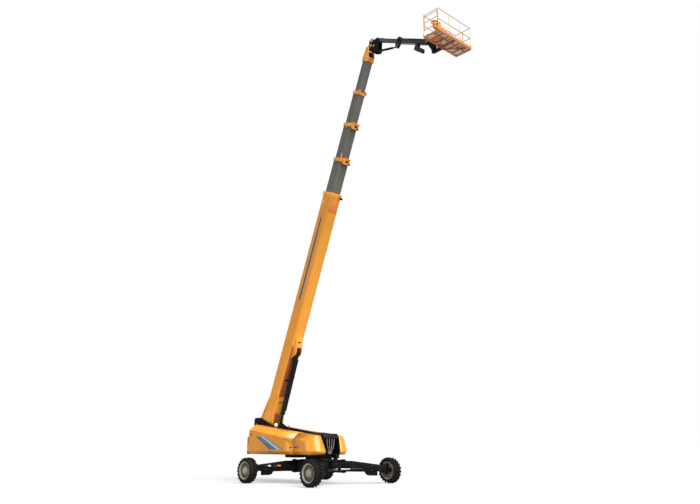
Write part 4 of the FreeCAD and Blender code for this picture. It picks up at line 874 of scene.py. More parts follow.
# ------------------------------------------------------------------ turntable
@dataclass
class Turntable:
    """Deck, uprights, ring, counterweight and what stands between the hoods."""

    def build(self) -> None:
        """Build the turntable's skins and dressing."""
        carry("turntable_frame", BLACK, 0.004)
        carry("slew_ring", CAST, 0.006)
        carry("counterweight", CAST, 0.02)
        carry("engine_block", CAST, 0.03)
        dress("channel_hoses", HOSE_SLEEVE)
        self.channel()
        self.ring_bolts()
        self.lamps()
        self.engine()
        self.rear()

    def channel(self) -> None:
        """Valves, tray and covers in the open front channel."""
        form = Form()
        form.block((0.5, 0.7, 0.12), (0.42, 0, 1.44), edge=0.01)
        form.block((0.2, 0.34, 0.3), (0.35, -0.08, 1.62), edge=0.008)
        form.block((0.16, 0.12, 0.36), (0.48, 0.24, 1.66), edge=0.008)
        form.block((0.05, 0.76, 0.5), (0.1, 0, 1.9), edge=0.006)
        form.block((0.12, 0.24, 0.14), (0.56, -0.02, 1.92), edge=0.01)
        for y in (-0.28, -0.2, 0.0, 0.08):
            form.rod((0.44, y, 1.5), (0.44, y, 1.58), 0.022)
        for side in BOTH:
            form.block((0.8, 0.6, 0.15), (-1.1, side * 0.6, 1.265), edge=0.02)
        form.finish("channel_valves", CAST, "turntable")
        lid = Form()
        lid.slab([(-0.2, 2.385), (0.60, 2.305), (0.78, 2.312), (0.85, 2.29), (0.885, 2.235), (0.885, 2.10),
                  (0.873, 2.10),
                  (0.873, 2.2), (0.8, 2.294), (0.6, 2.292), (-0.2, 2.372)], -0.442, 0.442, edge=0.005)
        lid.slab([(0.66, 2.30), (0.80, 2.30), (0.885, 2.24), (0.885, 1.99), (0.85, 1.94), (0.80, 1.98)],
                 -0.447, -0.432)
        lid.finish("channel_lid", BLACK_PLASTIC, "turntable")

    def ring_bolts(self) -> None:
        """Bolt circle round the slewing ring."""
        form = Form()
        form.bolts([(*p, 1.275) for p in circle(36, 0.7)], (0, 0, 1), 0.0135, 0.01)
        form.lathe([(0.66, 1.23), (0.715, 1.23), (0.72, 1.235), (0.72, 1.27), (0.715, 1.275), (0.66, 1.275),
                    (0.66, 1.23)],
                   (0, 0, 0), (0, 0, 1), sides=72)
        form.block((0.3, 0.22, 0.2), (0.78, 0.4, 1.26), edge=0.015)
        form.rod((0.78, 0.4, 1.1), (0.78, 0.4, 1.2), 0.09, edge=0.006)
        form.finish("slew_drive", CAST, "turntable")

    def lamps(self) -> None:
        """Beacons and the work lamp beside the boom."""
        bases, red, amber = Form(), Form(), Form()
        dome = [(0.0, 0.0), (0.045, 0.0), (0.047, 0.05), (0.04, 0.085), (0.02, 0.1), (0.0, 0.102)]
        for form, x, y, z, stalk, thick in ((red, -4.54, -0.455, 2.80, 0.08, 0.035),
                                            (amber, -1.8, -0.44, 2.64, 0.14, 0.028)):
            bases.rod((x, y, z - stalk), (x, y, z), thick, edge=0.004)
            form.lathe(dome, (x, y, z), (0, 0, 1), 24)
        lamp, aim = (-2.83, -0.475, 2.78), (0.55, -0.8, 0.1)
        bases.lathe([(0.0, -0.07), (0.05, -0.07), (0.1, -0.03), (0.11, 0.0), (0.1, 0.008), (0.0, 0.008)],
                    lamp, aim, 32)
        bases.rod((-2.86, -0.45, 2.6), (-2.86, -0.45, 2.76), 0.018)
        bases.finish("lamp_bodies", BLACK_PLASTIC, "turntable")
        red.finish("red_beacon", RED_LENS, "turntable")
        amber.finish("amber_beacon", AMBER_LENS, "turntable")
        lens = Form().lathe([(0.0, 0.006), (0.092, 0.008), (0.088, 0.02), (0.05, 0.032), (0.0, 0.036)],
                            lamp, aim, 32)
        lens.finish("work_lamp_lens", CLEAR_LENS, "turntable")

    def engine(self) -> None:
        """Ribs, filters and covers on the engine and the tanks behind the doors."""
        form = Form()
        for i in range(7):
            form.block((0.03, 0.44, 0.3), (-3.2 + 0.14 * i, 0.85, 1.7), edge=0.006)
        form.rod((-3.05, 0.85, 1.9), (-2.5, 0.85, 1.9), 0.12, edge=0.02)
        form.rod((-2.35, 0.62, 1.55), (-2.35, 1.02, 1.55), 0.11, edge=0.02)
        form.finish("engine_covers", BLACK_PLASTIC, "turntable")

    def rear(self) -> None:
        """Chevron bars and lamps on the counterweight."""
        dark, bright = Form(), Form()
        for side in BOTH:
            dark.block((0.02, 0.26, 0.1), (-4.508, side * 0.66, 1.56), edge=0.01)
            bright.block((0.012, 0.1, 0.07), (-4.517, side * 0.6, 1.56), edge=0.01)
            bright.block((0.012, 0.1, 0.07), (-4.517, side * 0.72, 1.56), edge=0.01)
        dark.finish("rear_lamp_cases", BLACK_PLASTIC, "turntable")
        bright.finish("rear_lamp_lenses", RED_LENS, "turntable")


@dataclass
class Hoods:
    """Moulded machinery covers on both sides, each split into a rear and a front one."""

    outline: tuple = ((-4.19, 1.33), (-4.25, 1.41), (-4.085, 2.81), (-1.46, 2.475), (0.80, 2.215),
                      (1.02, 1.56), (1.06, 1.44),
                      (1.06, 1.33))
    low: float = 1.33
    inner: float = 0.47
    outer: float = 1.24
    corner: float = 0.58
    wall: float = 0.02
    seam: float = -0.5
    gap: float = 0.024
    lip: float = 1.5
    tuck: float = 0.085
    channel_back: float = 0.52
    soft: float = 0.08
    recess_rim: float = 0.028
    recess_depth: float = 0.022
    crease: tuple = ((-4.7, 1.24, 2.6), (0.096, 0.616, 0.782))  # point and normal of the shoulder's plane
    recess: tuple = ((-1.32, 2.08), (-0.06, 1.95), (0.24, 1.70), (0.13, 1.56), (-1.12, 1.56))

    def envelope(self, side: float) -> Form:
        """The whole outer skin of one side, open below and towards the boom.

        Args:
            side: 1 on the left, -1 on the right.

        Returns:
            The open skin, made on the left and mirrored when needed.
        """
        form = Form()
        form.slab(list(self.outline), self.inner, self.outer, edge=0)
        bm = form.bm
        outer = [e for e in bm.edges if all(abs(v.co.y - self.outer) < 1e-6 for v in e.verts)]
        form.bevel([e for e in outer if all(v.co.x > 0.6 for v in e.verts)], self.corner, 10)
        rim = [g for g in form.cut(*self.crease, clear_outer=True) if isinstance(g, bmesh.types.BMEdge)]
        bmesh.ops.contextual_create(bm, geom=rim)
        gone = [f for f in bm.faces
                if all(v.co.z < self.low + 0.001 for v in f.verts) or all(v.co.y < self.inner + 1e-6
                for v in f.verts)]
        bmesh.ops.delete(bm, geom=gone, context="FACES")
        bmesh.ops.recalc_face_normals(bm, faces=bm.faces)
        if sum(f.normal.y * f.calc_area() for f in bm.faces) < 0:
            bmesh.ops.reverse_faces(bm, faces=bm.faces)
        sharp = [e for e in bm.edges if len(e.link_faces) == 2 and e.calc_face_angle(0) > 0.35]
        soft = [e for e in sharp if any(f.normal.z > 0.5 for f in e.link_faces)
                or all(v.co.x < -3.9 and v.co.y > self.outer - 0.12 for v in e.verts)]
        form.bevel(soft, self.soft, 6)
        self.sink_recess(form)
        form.cut((0, 0, self.lip), (0, 0, 1))
        for vert in bm.verts:
            tuck = self.tuck * max(0.0, min(1.0, (self.lip - vert.co.z) / (self.lip - self.low)))
            vert.co.y -= tuck if vert.co.y > self.outer - self.corner else 0.0
            vert.co.x += tuck if vert.co.x < -4.0 else (-tuck if vert.co.x > 0.7 else 0.0)
        self.cut_channel(form)
        if side < 0:
            bmesh.ops.scale(bm, vec=(1, -1, 1), verts=bm.verts)
            bmesh.ops.reverse_faces(bm, faces=bm.faces)
        return form

    def side_faces(self, form: Form) -> list:
        """Faces that lie in the flat side of a cover."""
        return [f for f in form.bm.faces
                if abs(f.normal.y) > 0.999 and f.calc_center_median().y > self.outer - 0.001]

    def sink_recess(self, form: Form) -> None:
        """Press the door's shallow recess into the side face.

        Args:
            form: the cover.
        """
        bm = form.bm
        corners = [Vector(p) for p in self.recess]
        sides = [(a, b - a) for a, b in zip(corners, corners[1:] + corners[:1])]
        for a, way in sides:
            geom = {g for f in self.side_faces(form) for g in [f, *f.edges, *f.verts]}
            bmesh.ops.bisect_plane(bm, geom=list(geom), plane_co=(a.x, 0, a.y), plane_no=(way.y, 0, -way.x))
        inside = []
        for face in self.side_faces(form):
            turns = [way.cross(face.calc_center_median().xz - a) for a, way in sides]
            if all(t < 0 for t in turns) or all(t > 0 for t in turns):
                inside.append(face)
        bmesh.ops.inset_region(bm, faces=inside, thickness=self.recess_rim, depth=-self.recess_depth,
                               use_even_offset=True)

    def cut_channel(self, form: Form) -> None:
        """Cut the front away along the leaning side of the middle channel.

        Args:
            form: the cover.
        """
        bm = form.bm
        foot, way = Vector((0, 0.443, self.low)), Vector((0, 1.03, -0.16)).normalized()
        form.cut(foot, way)
        form.cut((self.channel_back, 0, 0), (1, 0, 0))
        gone = [f for f in bm.faces if f.calc_center_median().x > self.channel_back
                and (f.calc_center_median() - foot).dot(way) < 0]
        bmesh.ops.delete(bm, geom=gone, context="FACES")

    def build(self) -> None:
        """Build the four covers with their decals and fittings."""
        for name, side in SIDES:
            for part, keep in (("rear", -1.0), ("front", 1.0)):
                form = self.envelope(side)
                form.cut((self.seam + keep * self.gap / 2, 0, 0), (keep, 0, 0), clear_inner=True)
                node = "hood_%s_%s" % (name, part)
                cover = form.finish(node + "_cover", COVER_YELLOW, node, "yellow_paint", (node,),
                                    recalculate=False,
                                    smooth_below=COVER_SMOOTH_BELOW)
                wall = cover.modifiers.new("wall", "SOLIDIFY")
                wall.thickness, wall.offset, wall.use_even_offset = self.wall, -1.0, True
            self.fittings(name, side)
            self.decal(name, side)

    def fittings(self, name: str, side: float) -> None:
        """Latches, slots and hinge lugs.

        Args:
            name: left or right.
            side: 1 on the left, -1 on the right.
        """
        face = side * (self.outer + 0.001)
        dark = Form()
        dark.block((0.16, 0.01, 0.03), (-2.35, side * (self.outer - 0.02), 1.46), edge=0.004)
        line = [(-4.02, 2.50), (-2.1, 2.262), (-1.8, 2.22), (-1.64, 2.14), (-1.6, 2.02)]
        for (x, z), (u, w) in zip(line, line[1:]):
            dark.slab([(x, z), (u, w), (u, w + 0.011), (x, z + 0.011)], face, face + side * 0.0008, edge=0)
        dark.block((0.13, 0.012, 0.05), (-3.9, face, 2.3), edge=0.01)
        dark.block((0.13, 0.012, 0.05), (-0.68, side * (self.outer - 0.014), 1.68), edge=0.01)
        dark.finish("hood_slots_" + name + "_rear", SEAM_BLACK, "hood_%s_rear" % name)
        latch = Form().block((0.13, 0.012, 0.05), (-0.3, side * (self.outer - 0.014), 1.68), edge=0.01)
        latch.block((0.012, 0.3, 0.05), (0.985, side * 0.62, 1.46), edge=0.004)
        latch.finish("hood_slots_" + name + "_front", SEAM_BLACK, "hood_%s_front" % name)

    def decal(self, name: str, side: float) -> None:
        """Slanting bands in plain colours, thinner towards the front.

        Args:
            name: left or right.
            side: 1 on the left, -1 on the right.
        """
        low, high = side * (self.outer + 0.0006), side * (self.outer + 0.0022)
        body = "hood_%s_rear" % name
        bands = ((NAVY_FILM, "navy", (-3.46, -3.38, -2.16, -2.30)),
                 (BLUE_FILM, "blue", (-3.35, -3.10, -1.72, -2.12)),
                 (WHITE_FILM, "white", (-3.07, -3.00, -1.56, -1.67)),
                 (SKY_FILM, "sky", (-2.97, -2.84, -1.34, -1.51)),
                 (NAVY_FILM, "edge", (-2.81, -2.78, -1.24, -1.29)))
        for finish, word, (a, b, c, d) in bands:
            form = Form().slab([(a, 2.2), (b, 2.2), (c, 1.57), (d, 1.57)], low, high, 0)
            form.finish("band_%s_%s" % (word, name), finish, body)
        Form().slab(circle(32, 0.085, (-2.52, 1.70)), low, high, 0).finish("disc_" + name, SKY_FILM, body)


# ------------------------------------------------------------------ boom
@dataclass
class Boom:
    """The five-part boom with its collars, foot, lift bracket and head."""

    base_half: tuple = (0.35, 0.335)
    collars: tuple = (("two", 14.85, 0.30, 0.285), ("three", 16.75, 0.2725, 0.255),
                      ("four", 18.5, 0.2325, 0.225))
    head_front: float = 20.41
    boss_pitch: float = 1.2

    def build(self) -> None:
        """Build the boom's skins and dressing."""
        carry("boom_base", YELLOW, 0.008)
        for word in ("two", "three", "four", "five"):
            carry("boom_section_" + word, SECTION_GREY, 0.006)
        for word in ("two", "three", "four"):
            carry("boom_collar_" + word, YELLOW, 0.005)
        carry("boom_head", YELLOW, 0.005)
        self.mouth()
        self.foot()
        self.stripes()
        for word, front, depth, width in self.collars:
            self.collar(word, front, depth, width)
        self.head()

    def mouth(self) -> None:
        """Side plates, roller and bosses towards the open end of the base, and a plate of painted shade under it.
        """
        deep, wide = self.base_half
        plate = Form(BOOM)
        # painted shade: a deeper orange plate on the mouth's underside
        plate.block((0.72, 0.56, 0.006), (12.38, -0.02, -deep - 0.004), edge=0.002)
        plate.finish("mouth_shade_plate", ORANGE, "boom_base")
        form = Form(BOOM)
        for side in BOTH:
            form.block((0.16, 0.012, 0.3), (12.92, side * (wide + 0.022), 0.0), edge=0.004)
            form.block((0.5, 0.01, 0.16), (12.35, side * (wide + 0.004), 0.16), edge=0.003)
        for i in range(5):
            form.rod((11.3 - self.boss_pitch * i, wide - 0.05, -deep - 0.03),
                     (11.3 - self.boss_pitch * i, wide - 0.05, -deep), 0.03,
                     edge=0.003)
        form.block((0.05, 0.1, 0.16), (12.98, 0.2, -deep - 0.07), edge=0.008)
        form.finish("mouth_plates", YELLOW, "boom_base", "yellow_paint")
        bolts = Form(BOOM)
        bolts.bolts([(12.38 + x, -0.02 + y, -deep - 0.007) for x in (-0.32, 0.0, 0.32)
                     for y in (-0.25, 0.25)], (0, 0, -1), 0.013, 0.01)
        for side in BOTH:
            bolts.bolts([(12.92, side * (wide + 0.028), z) for z in (-0.11, 0.11)], (0, side, 0), 0.014, 0.01)
            bolts.bolts([(12.35, side * (wide + 0.009), 0.16)], (0, side, 0), 0.03, 0.02)
        bolts.finish("mouth_bolts", ZINC, "boom_base")
        roller = Form(BOOM).rod((12.86, 0.25, -deep - 0.075), (12.86, 0.36, -deep - 0.075), 0.06,
                                edge=0.008, sides=28)
        roller.finish("mouth_roller", BLACK_PLASTIC, "boom_base")

    def foot(self) -> None:
        """Stiffeners and pin keepers round the boom's foot and lift bracket, and a sheet of painted shade under
        the boom.
        """
        deep, wide = self.base_half
        form = Form(BOOM)
        for side in BOTH:
            face = side * (wide + 0.006)
            steps = [i / 10 for i in range(11)]
            rim = [(0.62 + 1.5 * t, -0.44 + 0.13 * t + 0.16 * math.sin(math.pi * t)) for t in steps]
            inner = [(x + 0.03, z + 0.05) for x, z in rim]
            form.slab(rim + inner[::-1], face - side * 0.006, face + side * 0.03, edge=0.004)
            form.slab([(0.75, 0.52), (1.62, 0.36), (1.6, 0.32), (0.75, 0.46)], face - side * 0.006,
                      face + side * 0.02)
            form.rod((0.248, side * 0.372, 0.453), (0.248, side * 0.392, 0.453), 0.12, edge=0.004, sides=32)
        form.finish("foot_stiffeners", YELLOW, "boom_base", "yellow_paint")
        # painted shade: a red-brown sheet on the underside between the foot and the lift bracket
        cover = Form(BOOM).block((2.75, 0.6, 0.008), (3.37, 0.0, -deep - 0.005), edge=0.002)
        cover.block((0.06, 0.46, 0.02), (1.7, 0.0, -deep - 0.008), edge=0.003)
        cover.finish("foot_shade_sheet", RED_BROWN, "boom_base")
        slot = Form(BOOM)
        slot.block((0.05, 0.26, 0.006), (5.02, 0.0, -deep - 0.165), edge=0.002,
                   turn=Matrix.Rotation(-0.39, 4, "Y"))
        slot.block((0.1, 0.3, 0.006), (2.9, 0.0, -deep - 0.011), edge=0.002)
        slot.finish("bracket_slot", SEAM_BLACK, "boom_base")
        bolts = Form(BOOM)
        bolts.bolts([(2.35 + x, y, -deep - 0.009) for x in (-0.31, 0.0, 0.31) for y in (-0.19, 0.19)],
                    (0, 0, -1), 0.012, 0.009)
        for side in BOTH:
            bolts.bolts([(4.5, side * 0.192, -0.55)], (0, side, 0), 0.04, 0.012)
        bolts.finish("foot_bolts", ZINC, "boom_base")

    def stripes(self) -> None:
        """Two plain lines of vinyl along each side."""
        wide = self.base_half[1]
        for name, side in SIDES:
            low, high = side * (wide + 0.0006), side * (wide + 0.002)
            Form(BOOM).slab([(7.2, -0.03), (11.6, -0.03), (11.75, 0.05), (7.2, 0.05)], low, high, 0).finish(
                "boom_line_navy_" + name, NAVY_FILM, "boom_base")
            Form(BOOM).slab([(7.2, -0.09), (10.9, -0.09), (10.98, -0.055), (7.2, -0.055)], low, high,
                            0).finish(
                "boom_line_blue_" + name, BLUE_FILM, "boom_base")
        # a round mark on the first sliding section, thin enough to pass into the base
        Form(BOOM).slab(circle(20, 0.032, (14.008, -0.186)), -0.2853, -0.2851, 0).finish("section_mark",
            SEAM_BLACK, "section_two")

    def collar(self, word: str, front: float, deep: float, wide: float) -> None:
        """Pads, bolts and hose guides on one collar.

        Args:
            word: number word of its section.
            front: station of the section's end.
            deep: half depth of the section.
            wide: half width of the section.
        """
        body = "section_" + word
        out = wide + 0.026
        low = -deep - 0.026
        form = Form(BOOM)
        for side in BOTH:
            form.block((0.1, 0.014, deep), (front - 0.02, side * (out + 0.004), 0.0), edge=0.004)
        form.block((0.1, wide * 1.2, 0.014), (front - 0.02, 0.0, deep + 0.03), edge=0.004)
        if word != "four":
            form.block((0.05, 0.42, 0.03), (front + 0.09, 0.0, low - 0.148), edge=0.01)
            form.block((0.04, 0.03, 0.13), (front - 0.1, 0.06, low - 0.07), edge=0.006)
        form.finish("collar_guides_" + word, YELLOW, body, "yellow_paint")
        dark = Form(BOOM)
        if word == "four":
            dark.rod((front + 0.075, -wide + 0.02, low + 0.008), (front + 0.075, wide - 0.02, low + 0.008),
                     0.02)
        else:
            dark.rod((front - 0.04, -0.16, low - 0.075), (front - 0.04, 0.16, low - 0.075), 0.042, edge=0.005)
            dark.block((0.09, 0.1, 0.06), (front - 0.16, wide - 0.12, low - 0.165), edge=0.012)
        dark.finish("collar_rollers_" + word, BLACK_PLASTIC, body)
        bolts = Form(BOOM)
        for side in BOTH:
            bolts.bolts([(front - 0.02, side * (out + 0.011), z) for z in (-deep * 0.35, deep * 0.35)],
                        (0, side, 0), 0.012, 0.01)
        bolts.bolts([(front - 0.02, y, deep + 0.037) for y in (-wide * 0.4, wide * 0.4)], (0, 0, 1), 0.012,
                    0.01)
        bolts.finish("collar_bolts_" + word, ZINC, body)

    def head(self) -> None:
        """An orange band of painted shade under the boom's head, and gussets and bolts on the head."""
        s = self.head_front
        band = Form(BOOM)
        # painted shade: a deeper orange band on the head's underside
        band.block((0.2, 0.4, 0.008), (s - 0.12, 0.0, -0.232), edge=0.002)
        band.finish("head_band", ORANGE, "section_five")
        form = Form(BOOM)
        for side in BOTH:
            form.slab([(s - 0.18, -0.1), (s - 0.18, 0.18), (s + 0.2, 0.16), (s + 0.42, 0.1),
                       (s + 0.3, 0.02)], side * 0.222, side * 0.232)
            form.rod((s + 0.49, side * 0.221, 0.06), (s + 0.49, side * 0.245, 0.06), 0.07, edge=0.004,
                     sides=28)
        form.finish("head_gussets", YELLOW, "section_five", "yellow_paint")
        bolts = Form(BOOM)
        for side in BOTH:
            bolts.bolts([(s - 0.1, side * 0.232, z) for z in (-0.04, 0.12)], (0, side, 0), 0.014, 0.01)
        bolts.finish("head_bolts", ZINC, "section_five")
        housing = Form(BOOM).slab([(s + 0.02, -0.14), (s + 0.02, 0.13), (s + 0.2, 0.15), (s + 0.315, 0.06),
                                   (s + 0.3, -0.1)],
                                  -0.12, 0.12, edge=0.02)
        housing.finish("head_housing", CAST, "section_five")


@dataclass
class LiftCylinder:
    """The big cylinder that raises the boom."""

    def build(self) -> None:
        """Build its skins and fittings."""
        carry("lift_barrel", CYLINDER_BLACK, 0.006)
        carry("lift_rod", DARK_ROD, 0.004)
        top, foot = pivot("lift_barrel_turn"), heading("lift_rod_slide")
        place = axes(top, foot, Vector((1, 0, 0)))
        form = Form(place)
        for x in (0.5, 1.2, 2.2, 3.0):
            form.lathe([(0.126, -0.015), (0.132, -0.012), (0.132, 0.012), (0.126, 0.015), (0.126, -0.015)],
                       (x, 0, 0), (1, 0, 0), 40)
        form.rod((0.4, 0.07, 0.135), (3.1, 0.07, 0.135), 0.016)
        form.rod((0.4, -0.07, 0.135), (2.2, -0.07, 0.135), 0.016)
        for x in (0.42, 1.3, 2.15, 3.05):
            form.block((0.05, 0.2, 0.04), (x, 0, 0.14), edge=0.006)
        form.finish("lift_pipes", CYLINDER_BLACK, "lift_barrel", "black_cylinder")
        bolts = Form(place)
        bolts.bolts([(3.332, *p) for p in circle(10, 0.108)], (1, 0, 0), 0.01, 0.01)
        bolts.finish("lift_gland_bolts", ZINC, "lift_barrel")


# ------------------------------------------------------------------ jib
@dataclass
class Jib:
    """Head knuckle, jib beams, jib cylinder and the level bracket."""

    sleeve_start: float = 1.5
    sleeve_end: float = 3.52

    def build(self) -> None:
        """Build the jib's skins and dressing."""
        carry("jib_mount", BLACK, 0.005)
        carry("jib_inner", JIB_GREY, 0.005)
        carry("jib_outer", SLEEVE_GREY, 0.005)
        dress("head_hoses", HOSE)
        carry("jib_barrel", CYLINDER_BLACK, 0.003)
        carry("jib_rod", DARK_ROD, 0.002)
        carry("level_bracket", BLACK, 0.006)
        self.knuckle()
        self.beams()
        self.pod()

    def knuckle(self) -> None:
        """Bosses, valve block and pin keepers on the head knuckle."""
        place = MACHINE
        pin, base = Vector((4.45, 0, 22.13)), Vector((4.42, 0, 21.52))
        form = Form(place)
        for side in BOTH:
            form.rod((pin.x, side * 0.161, pin.z), (pin.x, side * 0.185, pin.z), 0.08, edge=0.004, sides=28)
            form.rod((base.x, side * 0.161, base.z), (base.x, side * 0.18, base.z), 0.06, edge=0.004,
                     sides=24)
        form.block((0.22, 0.2, 0.16), (4.02, 0.0, 21.88), edge=0.01, turn=Matrix.Rotation(-0.6, 4, "Y"))
        form.block((0.1, 0.1, 0.18), (3.92, -0.1, 21.98), edge=0.01, turn=Matrix.Rotation(-0.6, 4, "Y"))
        form.finish("knuckle_bosses", CAST, "jib_mount")
        bolts = Form(place)
        for side in BOTH:
            spots = [(x, side * 0.185, z) for x, z in circle(5, 0.055, (pin.x, pin.z))]
            bolts.bolts(spots, (0, side, 0), 0.009, 0.008)
        bolts.finish("knuckle_bolts", ZINC, "jib_mount")
        pale = Form(place)
        for y in (-0.09, 0.0, 0.09):
            pale.rod((3.93, y, 22.06), (3.90, y, 22.14), 0.026, sides=6)
            pale.rod((4.085, y, 22.075), (4.12, y, 22.135), 0.024, sides=6)
        pale.block((0.16, 0.02, 0.1), (4.0, -0.172, 21.96), edge=0.008, turn=Matrix.Rotation(-0.4, 4, "Y"))
        pale.block((0.12, 0.02, 0.07), (4.2, -0.172, 21.86), edge=0.008, turn=Matrix.Rotation(-0.4, 4, "Y"))
        pale.finish("knuckle_fittings", BEIGE_PLASTIC, "jib_mount")

    def beams(self) -> None:
        """Boss, lugs and plates on the two beams."""
        form = Form(JIB)
        form.rod((0.0, -0.123, 0.0), (0.0, 0.123, 0.0), 0.118, edge=0.01, sides=40)
        form.block((0.3, 0.176, 0.012), (0.3, 0, 0.099), edge=0.003)
        form.finish("jib_root_boss", CAST, "jib")
        sleeve = Form(JIB)
        start, end = self.sleeve_start, self.sleeve_end
        sleeve.rod((start + 0.08, -0.1, 0.145), (start + 0.08, 0.1, 0.145), 0.07, edge=0.006, sides=28)
        for side in BOTH:
            sleeve.slab([(start, -0.1), (start, 0.13), (start + 0.35, 0.1), (start + 0.35, -0.1)],
                        side * 0.134, side * 0.146)
            sleeve.block((1.2, 0.012, 0.03), (2.9, side * 0.121, 0.09), edge=0.003)
        sleeve.finish("sleeve_plates", BLACK, "jib_sleeve")
        # a pale zinc strip along the sleeve's underside
        pale = Form(JIB).block((1.1, 0.2, 0.006), (2.31, 0, -0.128), edge=0.002)
        pale.finish("sleeve_pale_strip", ZINC, "jib_sleeve")
        bolts = Form(JIB)
        for side in BOTH:
            bolts.bolts([(start + x, side * 0.146, z) for x in (0.06, 0.28) for z in (-0.06, 0.06)],
                        (0, side, 0), 0.012, 0.01)
            bolts.bolts([(3.64, side * 0.126, 0.0)], (0, side, 0), 0.03, 0.012)
        bolts.finish("sleeve_bolts", ZINC, "jib_sleeve")

    def pod(self) -> None:
        """Cover and ribs on the slung valve box."""
        form = Form(JIB)
        fall = 0.209
        turn = Matrix.Rotation(math.atan(fall), 4, "Y")
        for i in range(5):
            x = 2.97 + 0.11 * i
            form.block((0.03, 0.218, 0.01), (x, 0, -0.431 - fall * (x - 2.908)), edge=0.003, turn=turn)
        for side in BOTH:
            form.block((0.5, 0.008, 0.09), (3.2, side * 0.108, -0.385), edge=0.003, turn=turn)
        form.finish("valve_cover", BLACK_PLASTIC, "jib_sleeve")


